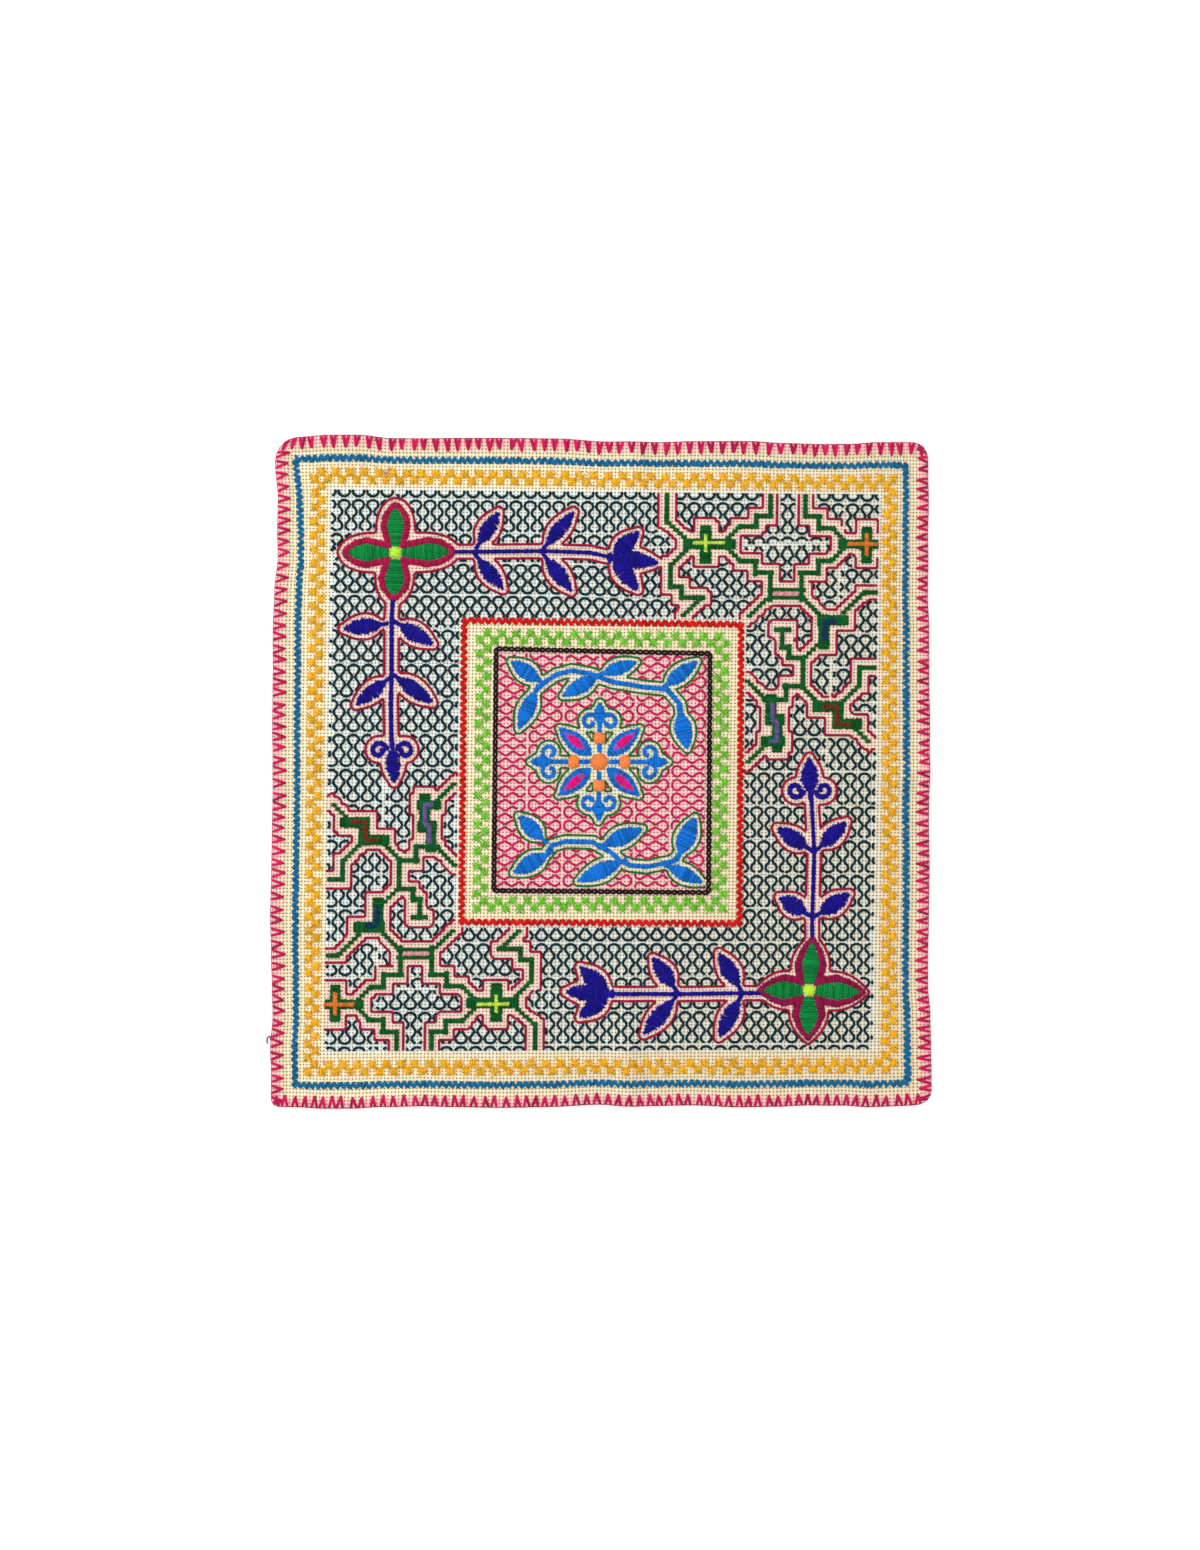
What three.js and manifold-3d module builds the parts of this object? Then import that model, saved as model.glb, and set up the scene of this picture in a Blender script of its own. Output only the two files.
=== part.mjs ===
// A hemmed square of even-weave cotton, embroidered all over, lying face up on a table.
// Units are millimetres. X runs across the cloth, Y up its pattern and Z off the table, with
// the origin under the middle of the cloth, where it rests. The cloth is one solid: the panel
// with its folded hem, its uneven outline, its soft fold lines, and the satin-stitched flowers,
// leaves, lattice and border lines standing up from it.

import * as THREE from 'three';
import { mergeVertices } from 'three/addons/utils/BufferGeometryUtils.js';
import Module from 'manifold-3d';

const wasm = await Module();
wasm.setup();

// Driving dimensions
const WIDTH = 346; // hem to hem, left to right
const LENGTH = 350; // hem to hem, top to bottom
const GROUND_THICK = 1.1; // cotton with the threads that run across its back
const HEM_THICK = 1.9; // the cotton folded over on itself
const FOLD_THICK = 1.0; // at the rounded outer fold of the hem
const HEM_DEEP = 6.8; // from the outer fold to the hem's inner edge
const HEM_ROUND = 0.8; // how far in the outer fold reaches its full thickness
const HEM_SLOPE = 0.5; // half the width of the slope from the hem down to the ground
const SATIN_HIGH = 0.9; // crown of a satin-stitched leaf above the ground
const SATIN_RIM = 0.3; // its rim
const LINE_HIGH = 0.5; // a border line or a lattice line above the ground
const ROOT = 0.6; // how far raised work is rooted in the cotton
const LEAF_STATIONS = [0, 0.22, 0.5, 0.8, 1]; // shares of a leaf's length where it is shaped
const LEAF_SWELL = 0.85; // below 1 sets a leaf's widest place nearer to its root
const LEAF_END = 0.35; // half the width of a leaf's two ends
const GRID_STEP = 15; // length of the flat facets of the open ground

// The embroidered field inside the borders
const FIELD = { left: -143.5, right: 144.5, bottom: -146, top: 148 };

// The uneven outline's own middle, which lies over the origin
const MIDDLE_Y = 0.5;

// The weave has pulled out of square: how far the field leans, spreads and tilts at its edge
const LEAN = 1.84;
const SPREAD = 0.92;
const TILT = 0.39;

// How far each edge bows out (+) or in (-) from the straight, by the place along it
const EDGE_BOW = [
  { at: -175, top: -0.3, right: 2.5, bottom: -1.0, left: -2.2 },
  { at: -160, top: -0.6, right: 2.2, bottom: -0.6, left: -2.1 },
  { at: -143, top: 0.4, right: 1.7, bottom: 0.3, left: -1.5 },
  { at: -128, top: 0.7, right: 1.2, bottom: 0.3, left: -2.5 },
  { at: -112, top: -0.7, right: -0.2, bottom: -0.5, left: -2.0 },
  { at: -95, top: -0.6, right: -0.4, bottom: -0.9, left: -1.3 },
  { at: -75, top: -0.2, right: -0.2, bottom: -0.2, left: -0.6 },
  { at: -50, top: 0.0, right: -0.2, bottom: 0.3, left: -0.9 },
  { at: -25, top: 0.0, right: -0.8, bottom: 0.0, left: -1.0 },
  { at: 0, top: -1.3, right: -0.8, bottom: -1.1, left: -1.1 },
  { at: 25, top: -1.4, right: -0.9, bottom: -0.2, left: -0.4 },
  { at: 50, top: -0.6, right: -1.6, bottom: -0.5, left: -0.4 },
  { at: 75, top: -0.3, right: -1.9, bottom: 0.6, left: -0.1 },
  { at: 95, top: -1.2, right: -2.9, bottom: 0.4, left: -0.7 },
  { at: 112, top: -1.5, right: -2.8, bottom: -0.4, left: -2.2 },
  { at: 128, top: -1.3, right: -3.2, bottom: -0.1, left: -1.8 },
  { at: 143, top: -0.2, right: -3.0, bottom: 0.9, left: -1.9 },
  { at: 160, top: 0.0, right: -3.5, bottom: 0.3, left: -0.3 },
  { at: 175, top: -0.5, right: -3.9, bottom: -0.8, left: 0.0 },
];

// How round each corner of the hem is
const CORNERS = [
  { sideX: -1, sideY: 1, radius: 13 },
  { sideX: 1, sideY: 1, radius: 8 },
  { sideX: 1, sideY: -1, radius: 7 },
  { sideX: -1, sideY: -1, radius: 4 },
];

// Soft ridges left by folding in quarters, and the lifted places of the hem: each keeps its
// full height over the first part of its run, and dies away over the rest
const RIDGE_HELD = 0.3;
const FOLDS = [
  { from: [15, -178], to: [15, -78], high: 2.6, reach: 12 },
  { from: [176, 1], to: [124, 1], high: 2.2, reach: 11 },
  { from: [15, 178], to: [15, 118], high: 1.6, reach: 12 },
  { from: [-176, 1], to: [-140, 1], high: 1.4, reach: 11 },
  { from: [-150, 180], to: [-120, 160], high: 2.4, reach: 18 },
  { from: [-103, -180], to: [-97, -156], high: 1.5, reach: 15 },
  { from: [118, -180], to: [110, -154], high: 1.6, reach: 16 },
];

// Grid lines that follow the quarter folds, besides the even ones
const FOLD_LINES = { u: [3, 9, 15, 21, 27], v: [-10, -4.5, 1, 6.5, 12] };

// Satin leaves and petals: where each is rooted, its tip, and half its width
const FLOWER_PETALS = [
  { root: [-109.3, 118.5], tip: [-109.5, 137.8], half: 4.5 },
  { root: [-113, 114.8], tip: [-133.9, 114.6], half: 4.6 },
  { root: [-105.5, 114.8], tip: [-81.3, 115.5], half: 4.6 },
  { root: [-109.3, 111], tip: [-109.9, 92.8], half: 5.2 },
  { root: [110.7, -110.6], tip: [112, -89.5], half: 4.6 },
  { root: [110.7, -118], tip: [110.5, -137.5], half: 5.0 },
  { root: [107, -114.3], tip: [87.1, -114.2], half: 4.7 },
  { root: [114.4, -114.3], tip: [137, -115.4], half: 4.8 },
];
const FIELD_LEAVES = [
  { root: [-65.2, 120.3], tip: [-55.5, 136.4], half: 3.8 },
  { root: [-65.2, 111.4], tip: [-52.6, 96.1], half: 3.7 },
  { root: [-29.6, 120.1], tip: [-16.2, 136.8], half: 3.5 },
  { root: [-29.5, 111.7], tip: [-16.7, 95.3], half: 3.8 },
  { root: [5.4, 113.5], tip: [17.9, 126.5], half: 4.3 },
  { root: [5.4, 112.1], tip: [18.2, 96.3], half: 4.3 },
  { root: [6, 112.8], tip: [28.3, 110.7], half: 4.2 },
  { root: [-116.6, 77.2], tip: [-136, 74.9], half: 4.0 },
  { root: [-106.6, 77.2], tip: [-89.1, 67], half: 3.9 },
  { root: [-113.5, 47.8], tip: [-128.9, 35.3], half: 3.4 },
  { root: [-107, 49.2], tip: [-88.9, 36.5], half: 3.8 },
  { root: [-109.5, 12], tip: [-108.5, -5.2], half: 3.8 },
  { root: [108.2, -73.6], tip: [94.4, -65.2], half: 4.2 },
  { root: [116, -73.6], tip: [131.1, -63.6], half: 4.2 },
  { root: [108.6, -39], tip: [92.8, -28.8], half: 4.0 },
  { root: [116.2, -38], tip: [129.1, -25.5], half: 4.0 },
  { root: [109.8, -10], tip: [109.2, 8.2], half: 4.2 },
  { root: [73.4, -111.8], tip: [63.2, -94.7], half: 4.0 },
  { root: [73.6, -120], tip: [63.7, -138.9], half: 4.0 },
  { root: [39.3, -112], tip: [28.5, -97.3], half: 4.0 },
  { root: [38.9, -120], tip: [24.3, -137.2], half: 4.0 },
  { root: [4.9, -115.2], tip: [-9.8, -101.9], half: 4.3 },
  { root: [4.9, -116.6], tip: [-9.4, -128.2], half: 4.3 },
  { root: [4.3, -115.9], tip: [-17, -114.8], half: 4.2 },
];
const PANEL_LEAVES = [
  { root: [-33.2, 48.4], tip: [-47.9, 58.2], half: 3.9 },
  { root: [-35.1, 42.1], tip: [-43.5, 22.9], half: 3.9 },
  { root: [-3.3, 50.2], tip: [-20.5, 40.3], half: 3.9 },
  { root: [0.6, 52.2], tip: [17.9, 58.2], half: 3.4 },
  { root: [33.8, 46.4], tip: [49.8, 58.8], half: 3.7 },
  { root: [41, 31.5], tip: [45.2, 12.9], half: 4.4 },
  { root: [-30.6, -34.4], tip: [-43, -22.7], half: 3.9 },
  { root: [-28.1, -43.1], tip: [-45.3, -52.5], half: 4.2 },
  { root: [2.5, -37.5], tip: [22.1, -29.2], half: 4.2 },
  { root: [10.5, -47], tip: [-11.4, -56.9], half: 4.2 },
  { root: [41.9, -42.2], tip: [49.6, -23.3], half: 4.7 },
  { root: [36.5, -49.3], tip: [54, -57.6], half: 3.5 },
];

// The middle ornament: four petals about a crossing, the same on both sides and both ways up
const ORNAMENT = { middle: [-1, 5.8], rootX: 4.5, rootY: 3.6, tipX: 21, tipY: 17.5, half: 4.6 };

// Stems of the sprays
const STEMS = [
  { wide: 1.6, route: [[-78.2, 115.5], [-66.1, 115.6], [-30.9, 116.2], [-7.2, 115.6], [5.4, 112.8]] },
  { wide: 1.8, route: [[-110.4, 90], [-110.9, 80.8], [-110.6, 51], [-110.8, 35.3], [-110, 12.8]] },
  { wide: 1.6, route: [[112, -87.9], [111.8, -77.3], [112.5, -41.9], [110.4, -9]] },
  { wide: 1.7, route: [[87.1, -115.8], [76.1, -115.8], [41.4, -116.2], [4.9, -115.9]] },
  {
    wide: 2.6,
    route: [[-35.5, 42.6], [-30.8, 46.9], [-24.6, 51.3], [-16, 53.7], [-6.5, 52.1],
      [5.4, 47.8], [22, 45.2], [34, 44.1], [41, 36.2], [41.8, 30.6]],
  },
  {
    wide: 2.6,
    route: [[-28.1, -42.3], [-25.1, -38], [-18, -36], [-3.8, -36.4], [6.5, -42.2],
      [10.5, -46.2], [16.1, -48.5], [24.7, -49.3], [38.9, -46.2], [41.9, -42.2]],
  },
];

// One lattice band, the upper right one: the other is this one turned half round
const LATTICE_LINE = 2.3;
const LATTICE = [
  { wide: LATTICE_LINE, route: [[32.8, 146], [32.8, 132.3], [45, 121.5]] },
  { wide: 5.6, route: [[44.5, 120.6], [66, 120.6]] },
  { wide: 6.2, route: [[53.4, 127.3], [53.4, 114]] },
  {
    wide: LATTICE_LINE,
    route: [[64.4, 123], [71.4, 130], [79.8, 130], [79.8, 135.6], [87.2, 135.6], [87.2, 146]],
  },
  {
    wide: LATTICE_LINE,
    route: [[105.6, 146], [105.6, 135.7], [112.7, 135.7], [112.7, 129.4], [119.8, 129.4], [126.6, 122.6]],
  },
  { wide: 5.0, route: [[125.6, 121.1], [142.5, 121.1]] },
  { wide: 5.8, route: [[138, 127.4], [138, 114.8]] },
  {
    wide: LATTICE_LINE,
    route: [[64.4, 119], [71.6, 111.8], [79.6, 111.8], [79.6, 105.8], [87.6, 105.8], [87.6, 91.8]],
  },
  {
    wide: LATTICE_LINE,
    route: [[126.6, 119.4], [119.4, 112.2], [112.9, 112.2], [112.9, 105.8], [104, 105.8], [104, 91.8]],
  },
  { wide: 1.8, route: [[87, 96.8], [104.8, 96.8]] },
  { wide: 1.8, route: [[87, 92.6], [104.8, 92.6]] },
  { wide: LATTICE_LINE, route: [[86.4, 92.4], [76, 82]] },
  { wide: LATTICE_LINE, route: [[105, 92.4], [113.6, 83.8]] },
  { wide: 5.8, route: [[126.1, 80.9], [116.1, 80.9], [116.1, 68.6]] },
  { wide: LATTICE_LINE, route: [[125.4, 84], [137, 95.7], [142.5, 95.7]] },
  { wide: LATTICE_LINE, route: [[113.6, 68.6], [105.4, 60.4], [105.4, 46], [96.6, 46]] },
  { wide: LATTICE_LINE, route: [[96.6, 46.5], [96.6, 38.8], [86, 38.8], [75.5, 49.3]] },
  { wide: LATTICE_LINE, route: [[105.2, 60.9], [98, 60.9], [98, 66.3], [94.3, 66.3], [94.3, 75.6]] },
  { wide: LATTICE_LINE, route: [[91, 75.7], [97.6, 75.7]] },
  { wide: 5.8, route: [[88.8, 38.8], [88.8, 28.4], [92.3, 28.4], [92.3, 14.2]] },
  { wide: 5.0, route: [[94, 17], [86.2, 17]] },
  { wide: LATTICE_LINE, route: [[86.6, 15.4], [76.4, 5.2]] },
  { wide: LATTICE_LINE, route: [[104.9, 45.8], [113.9, 36.8]] },
  { wide: 5.6, route: [[113.3, 35.3], [124, 35.3], [124, 26.2], [133.8, 26.2]] },
  { wide: LATTICE_LINE, route: [[126, 37.6], [135, 46.6], [135, 55.9], [142.5, 55.9]] },
  { wide: LATTICE_LINE, route: [[132.8, 24.2], [141, 16]] },
  {
    wide: LATTICE_LINE,
    route: [[45.6, 119.6], [35.2, 109.2], [35.2, 98], [41.1, 98], [41.1, 92.3], [51.9, 92.3]],
  },
  { wide: LATTICE_LINE, route: [[51.5, 92.3], [41.3, 82.1]] },
];

// Square border lines: half sizes about the middle of each square
const BORDER_LINES = [
  { wide: 3.2, middle: [0, 0], halfX: 160.3, halfY: 163.1 },
  { wide: 3.8, middle: [0.4, 0.1], halfX: 72.8, halfY: 78.9 },
  { wide: 2.4, middle: [0.6, 0.7], halfX: 56.3, halfY: 63.1 },
];

function smooth(t) {
  const held = Math.min(Math.max(t, 0), 1);
  return held * held * (3 - 2 * held);
}

// The bow of one edge at a place along it, eased between the rows of the table
function bow(edge, along) {
  const last = EDGE_BOW.length - 1;
  const next = EDGE_BOW.findIndex((row, i) => i > 0 && (along <= row.at || i === last));
  const a = EDGE_BOW[next - 1];
  const b = EDGE_BOW[next];
  return a[edge] + (b[edge] - a[edge]) * smooth((along - a.at) / (b.at - a.at));
}

// From 0 at the field's edge to 1 at the hem
function outward(place, fieldEdge, hemEdge) {
  return Math.min(Math.max((place - fieldEdge) / (hemEdge - fieldEdge), 0), 1.1);
}

// Rounds the corners of the flat pattern: a corner's square is pressed into a quarter disc
function roundCorner(u, v) {
  for (const { sideX, sideY, radius } of CORNERS) {
    const a = (u * sideX - (WIDTH / 2 - radius)) / radius;
    const b = (v * sideY - (LENGTH / 2 - radius)) / radius;
    if (a > 0 && b > 0) {
      return [
        sideX * (WIDTH / 2 - radius + radius * a * Math.sqrt(1 - (b * b) / 2)),
        sideY * (LENGTH / 2 - radius + radius * b * Math.sqrt(1 - (a * a) / 2)),
      ];
    }
  }
  return [u, v];
}

// Where a point of the flat pattern lies on the table
function place(flatU, flatV) {
  const [u, v] = roundCorner(flatU, flatV);
  const across = u / FIELD.right;
  const up = v / FIELD.top;
  const right = outward(u, FIELD.right, WIDTH / 2) * bow('right', v);
  const left = outward(-u, -FIELD.left, WIDTH / 2) * bow('left', v);
  const top = outward(v, FIELD.top, LENGTH / 2) * bow('top', u);
  const bottom = outward(-v, -FIELD.bottom, LENGTH / 2) * bow('bottom', u);
  const y = v - SPREAD * across * up - TILT * across + top - bottom;
  return [u + LEAN * up + right - left, y - MIDDLE_Y];
}

// How far the cloth's underside stands off the table: nothing but under the soft folds
function lift(u, v) {
  let height = 0;
  for (const { from, to, high, reach } of FOLDS) {
    const runU = to[0] - from[0];
    const runV = to[1] - from[1];
    const along = ((u - from[0]) * runU + (v - from[1]) * runV) / (runU * runU + runV * runV);
    const held = Math.min(Math.max(along, 0), 1);
    const away = Math.hypot(u - from[0] - held * runU, v - from[1] - held * runV) / reach;
    const section = away < 1 ? (1 - away * away) ** 2 : 0;
    const fading = smooth((held - RIDGE_HELD) / (1 - RIDGE_HELD));
    height = Math.max(height, high * section * (1 - fading));
  }
  return height;
}

function thickness(u, v) {
  const fromEdge = Math.min(WIDTH / 2 - Math.abs(u), LENGTH / 2 - Math.abs(v));
  if (fromEdge < HEM_ROUND) {
    return FOLD_THICK + ((HEM_THICK - FOLD_THICK) * fromEdge) / HEM_ROUND;
  }
  return fromEdge < HEM_DEEP ? HEM_THICK : GROUND_THICK;
}

// Lines of the sheet's grid: close together at the hem and the folds, even over open ground
function gridLines(half, foldLines) {
  const inside = half - HEM_DEEP - HEM_SLOPE;
  const steps = Math.round((2 * inside) / GRID_STEP);
  const open = Array.from({ length: steps + 1 }, (_, i) => -inside + (2 * inside * i) / steps)
    .filter((line) => foldLines.every((fold) => Math.abs(line - fold) > GRID_STEP / 2));
  const hem = [half, half - HEM_ROUND, half - HEM_DEEP + HEM_SLOPE];
  return [...hem, ...hem.map((line) => -line), ...open, ...foldLines].sort((a, b) => a - b);
}

const LINES_U = gridLines(WIDTH / 2, FOLD_LINES.u);
const LINES_V = gridLines(LENGTH / 2, FOLD_LINES.v);

// The facets' own height off the table at any point, which raised work follows
function facetLift(u, v) {
  const cell = (lines, p) => {
    const passed = lines.filter((line) => line <= p).length;
    const i = Math.min(Math.max(passed - 1, 0), lines.length - 2);
    return [i, (p - lines[i]) / (lines[i + 1] - lines[i])];
  };
  const [i, s] = cell(LINES_U, u);
  const [j, t] = cell(LINES_V, v);
  const node = (a, b) => lift(LINES_U[i + a], LINES_V[j + b]);
  return (1 - t) * ((1 - s) * node(0, 0) + s * node(1, 0)) + t * ((1 - s) * node(0, 1) + s * node(1, 1));
}

function onCloth(u, v, above) {
  const [x, y] = place(u, v);
  return new THREE.Vector3(x, y, facetLift(u, v) + thickness(u, v) + above);
}

function solidFrom(points, faces) {
  const geometry = new THREE.BufferGeometry();
  const coordinates = points.flatMap((point) => point.toArray());
  geometry.setAttribute('position', new THREE.Float32BufferAttribute(coordinates, 3));
  geometry.setIndex(faces.flat());
  const merged = mergeVertices(geometry, 1e-4);
  const mesh = new wasm.Mesh({
    numProp: 3,
    vertProperties: new Float32Array(merged.attributes.position.array),
    triVerts: new Uint32Array(merged.index.array),
  });
  return new wasm.Manifold(mesh);
}

// The panel with its hem: an upper and a lower skin on one grid, joined round the edge
function clothSheet() {
  const points = [];
  for (const upper of [true, false]) {
    for (const v of LINES_V) {
      for (const u of LINES_U) {
        points.push(upper ? onCloth(u, v, 0) : onCloth(u, v, -thickness(u, v)));
      }
    }
  }
  const [endU, endV] = [LINES_U.length - 1, LINES_V.length - 1];
  const index = (i, j, upper) => (upper ? 0 : (endU + 1) * (endV + 1)) + j * (endU + 1) + i;
  const faces = [];
  for (let j = 0; j < endV; j++) {
    for (let i = 0; i < endU; i++) {
      const ring = [[i, j], [i + 1, j], [i + 1, j + 1], [i, j + 1]];
      const [a, b, c, d] = ring.map(([p, q]) => index(p, q, true));
      const [e, f, g, h] = ring.map(([p, q]) => index(p, q, false));
      faces.push([a, b, c], [a, c, d], [e, g, f], [e, h, g]);
    }
  }
  const wall = (p, q) => {
    const [a, b] = [index(...p, true), index(...q, true)];
    const [c, d] = [index(...p, false), index(...q, false)];
    faces.push([a, c, d], [a, d, b]);
  };
  for (let i = 0; i < endU; i++) {
    wall([i, 0], [i + 1, 0]);
    wall([i + 1, endV], [i, endV]);
  }
  for (let j = 0; j < endV; j++) {
    wall([endU, j], [endU, j + 1]);
    wall([0, j + 1], [0, j]);
  }
  return solidFrom(points, faces);
}

// A closed body through a row of rings that all have the same number of points
function loft(rings) {
  const count = rings[0].length;
  const faces = [];
  for (let r = 0; r + 1 < rings.length; r++) {
    for (let k = 0; k < count; k++) {
      const a = r * count + k;
      const b = r * count + ((k + 1) % count);
      faces.push([a, b + count, b], [a, a + count, b + count]);
    }
  }
  const last = (rings.length - 1) * count;
  for (let k = 1; k + 1 < count; k++) {
    faces.push([0, k, k + 1], [last, last + k + 1, last + k]);
  }
  return solidFrom(rings.flat(), faces);
}

// One ring of raised work round a point of its middle line, from its root up one side, over
// the top and down the other: across is a share of its half width, above a height
function raisedRing([u, v], [sideU, sideV], half, top) {
  const corners = [[-1, -ROOT], [1, -ROOT], ...top];
  const at = (across, above) => onCloth(u + sideU * half * across, v + sideV * half * across, above);
  return corners.map(([across, above]) => at(across, above));
}

// A leaf or petal swells from its root and closes in a point
function satinLeaf({ root, tip, half }) {
  const run = [tip[0] - root[0], tip[1] - root[1]];
  const length = Math.hypot(...run);
  const side = [run[1] / length, -run[0] / length];
  return loft(LEAF_STATIONS.map((t) => {
    const wide = Math.max(half * Math.sin(Math.PI * t ** LEAF_SWELL), LEAF_END);
    const middle = [root[0] + run[0] * t, root[1] + run[1] * t];
    const crown = t > 0 && t < 1 ? SATIN_HIGH : LINE_HIGH;
    return raisedRing(middle, side, wide, [[1, SATIN_RIM], [0, crown], [-1, SATIN_RIM]]);
  }));
}

function ornamentPetals({ middle, rootX, rootY, tipX, tipY, half }) {
  return [[1, 1], [-1, 1], [-1, -1], [1, -1]].map(([sideX, sideY]) => satinLeaf({
    root: [middle[0] + sideX * rootX, middle[1] + sideY * rootY],
    tip: [middle[0] + sideX * tipX, middle[1] + sideY * tipY],
    half,
  }));
}

// A route with a further point wherever it crosses one of the lines
function withCrossings(route, linesU, linesV) {
  return route.flatMap((to, i) => {
    const from = route[Math.max(i - 1, 0)];
    const shares = (lines, axis) => lines
      .map((line) => (line - from[axis]) / (to[axis] - from[axis]))
      .filter((t) => t > 0.02 && t < 0.98);
    const all = [...shares(linesU, 0), ...shares(linesV, 1)].sort((s, t) => s - t);
    return [...all.map((t) => from.map((start, axis) => start + (to[axis] - start) * t)), to];
  });
}

// A line of stitches of even width, mitred at its corners, that follows the folds
function stitchedLine({ wide, route }) {
  const points = withCrossings(route, FOLD_LINES.u, FOLD_LINES.v);
  const directions = points.slice(1).map((p, i) => {
    const run = [p[0] - points[i][0], p[1] - points[i][1]];
    const length = Math.hypot(...run);
    return [run[0] / length, run[1] / length];
  });
  return loft(points.map((point, i) => {
    const a = directions[Math.max(i - 1, 0)];
    const b = directions[Math.min(i, directions.length - 1)];
    const mitre = 1 + a[0] * b[0] + a[1] * b[1];
    const side = [(a[1] + b[1]) / mitre, -(a[0] + b[0]) / mitre];
    return raisedRing(point, side, wide / 2, [[1, LINE_HIGH], [-1, LINE_HIGH]]);
  }));
}

// The four sides of a square border line, long enough to follow every line of the grid
function squareLine({ wide, middle: [u, v], halfX, halfY }) {
  const corners = [[-1, -1], [1, -1], [1, 1], [-1, 1], [-1, -1]]
    .map(([x, y]) => [u + x * halfX, v + y * halfY]);
  return corners.slice(1).map((end, i) => stitchedLine({
    wide,
    route: withCrossings([corners[i], end], LINES_U, LINES_V),
  }));
}

function turnedHalfRound({ wide, route }) {
  return { wide, route: route.map(([u, v]) => [-u, -v]) };
}

function embroideredCloth() {
  const raised = [
    ...[...FLOWER_PETALS, ...FIELD_LEAVES, ...PANEL_LEAVES].map(satinLeaf),
    ...[...STEMS, ...LATTICE, ...LATTICE.map(turnedHalfRound)].map(stitchedLine),
    ...ornamentPetals(ORNAMENT),
    ...BORDER_LINES.flatMap(squareLine),
  ];
  const whole = wasm.Manifold.union([clothSheet(), ...raised]).getMesh();
  const geometry = new THREE.BufferGeometry();
  geometry.setAttribute('position', new THREE.Float32BufferAttribute(whole.vertProperties, 3));
  geometry.setIndex(new THREE.BufferAttribute(new Uint32Array(whole.triVerts), 1));
  geometry.computeVertexNormals();
  const cotton = new THREE.MeshStandardMaterial({ color: '#e9dcc0', roughness: 0.9, metalness: 0 });
  const cloth = new THREE.Mesh(geometry, cotton);
  cloth.name = 'embroidered_cloth';
  return cloth;
}

const part = new THREE.Group();
part.add(embroideredCloth());

export default part;
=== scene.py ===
import random

import bmesh
import bpy
import numpy as np
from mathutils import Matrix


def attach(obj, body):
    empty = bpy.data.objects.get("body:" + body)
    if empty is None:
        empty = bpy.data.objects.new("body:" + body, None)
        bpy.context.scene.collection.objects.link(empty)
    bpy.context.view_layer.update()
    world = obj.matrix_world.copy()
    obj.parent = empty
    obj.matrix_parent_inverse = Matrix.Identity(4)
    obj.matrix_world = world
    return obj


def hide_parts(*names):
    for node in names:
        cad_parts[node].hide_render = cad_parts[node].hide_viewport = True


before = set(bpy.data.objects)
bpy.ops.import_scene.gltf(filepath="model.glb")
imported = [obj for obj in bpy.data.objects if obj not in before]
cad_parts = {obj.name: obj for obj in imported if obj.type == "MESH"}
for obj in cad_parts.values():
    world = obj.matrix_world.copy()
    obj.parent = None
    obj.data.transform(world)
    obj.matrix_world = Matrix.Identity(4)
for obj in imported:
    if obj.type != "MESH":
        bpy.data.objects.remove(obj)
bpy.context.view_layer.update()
random.seed(8)

# The camera looks straight down on the cloth. The photograph shows 814.5 mm from top to
# bottom at the table, with the cloth's middle almost at its own middle.
SEEN_HEIGHT = 0.8145
eye = bpy.data.cameras.new("eye")
eye.lens = 50
eye.sensor_fit = "VERTICAL"
eye.sensor_height = 36
camera = bpy.data.objects.new("camera", eye)
camera.location = (-0.0005, -0.0016, SEEN_HEIGHT * eye.lens / eye.sensor_height)
bpy.context.scene.collection.objects.link(camera)
bpy.context.scene.camera = camera

# The ground is one square of even-weave cotton, its four edges folded over into a hem. It lies
# flat but for the soft ridges that folding in quarters left. Sizes are millimetres on the flat
# pattern, u across and v up, and lay_on_cloth() puts a point of it on the cloth, in metres.
WIDTH = 346
LENGTH = 350
FIELD_LEFT, FIELD_RIGHT, FIELD_BOTTOM, FIELD_TOP = -143.5, 144.5, -146, 148
MIDDLE_Y = 0.5

# How far the weave has pulled out of square at the field's edge, and how far apart its holes are
LEAN, SPREAD, TILT = 1.84, 0.92, 0.39
HOLE_U, HOLE_V = 1.89, 1.84

# Distance in from the folded edge, and the heights of the upper and the lower face there
HEM_SECTION = np.array([
    (0.0, 0.75, 0.35),
    (0.3, 1.35, 0.1),
    (0.8, 1.9, 0.0),
    (2.3, 1.95, 0.0),
    (4.2, 1.95, 0.0),
    (6.3, 1.85, 0.0),
    (7.3, 1.1, 0.0),
])

# Place along an edge, and how far the top, right, bottom and left edge bow out there
EDGE_BOW = np.array([
    (-175, -0.3, 2.5, -1.0, -2.2),
    (-160, -0.6, 2.2, -0.6, -2.1),
    (-143, 0.4, 1.7, 0.3, -1.5),
    (-128, 0.7, 1.2, 0.3, -2.5),
    (-112, -0.7, -0.2, -0.5, -2.0),
    (-95, -0.6, -0.4, -0.9, -1.3),
    (-75, -0.2, -0.2, -0.2, -0.6),
    (-50, 0.0, -0.2, 0.3, -0.9),
    (-25, 0.0, -0.8, 0.0, -1.0),
    (0, -1.3, -0.8, -1.1, -1.1),
    (25, -1.4, -0.9, -0.2, -0.4),
    (50, -0.6, -1.6, -0.5, -0.4),
    (75, -0.3, -1.9, 0.6, -0.1),
    (95, -1.2, -2.9, 0.4, -0.7),
    (112, -1.5, -2.8, -0.4, -2.2),
    (128, -1.3, -3.2, -0.1, -1.8),
    (143, -0.2, -3.0, 0.9, -1.9),
    (160, 0.0, -3.5, 0.3, -0.3),
    (175, -0.5, -3.9, -0.8, 0.0),
])
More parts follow.
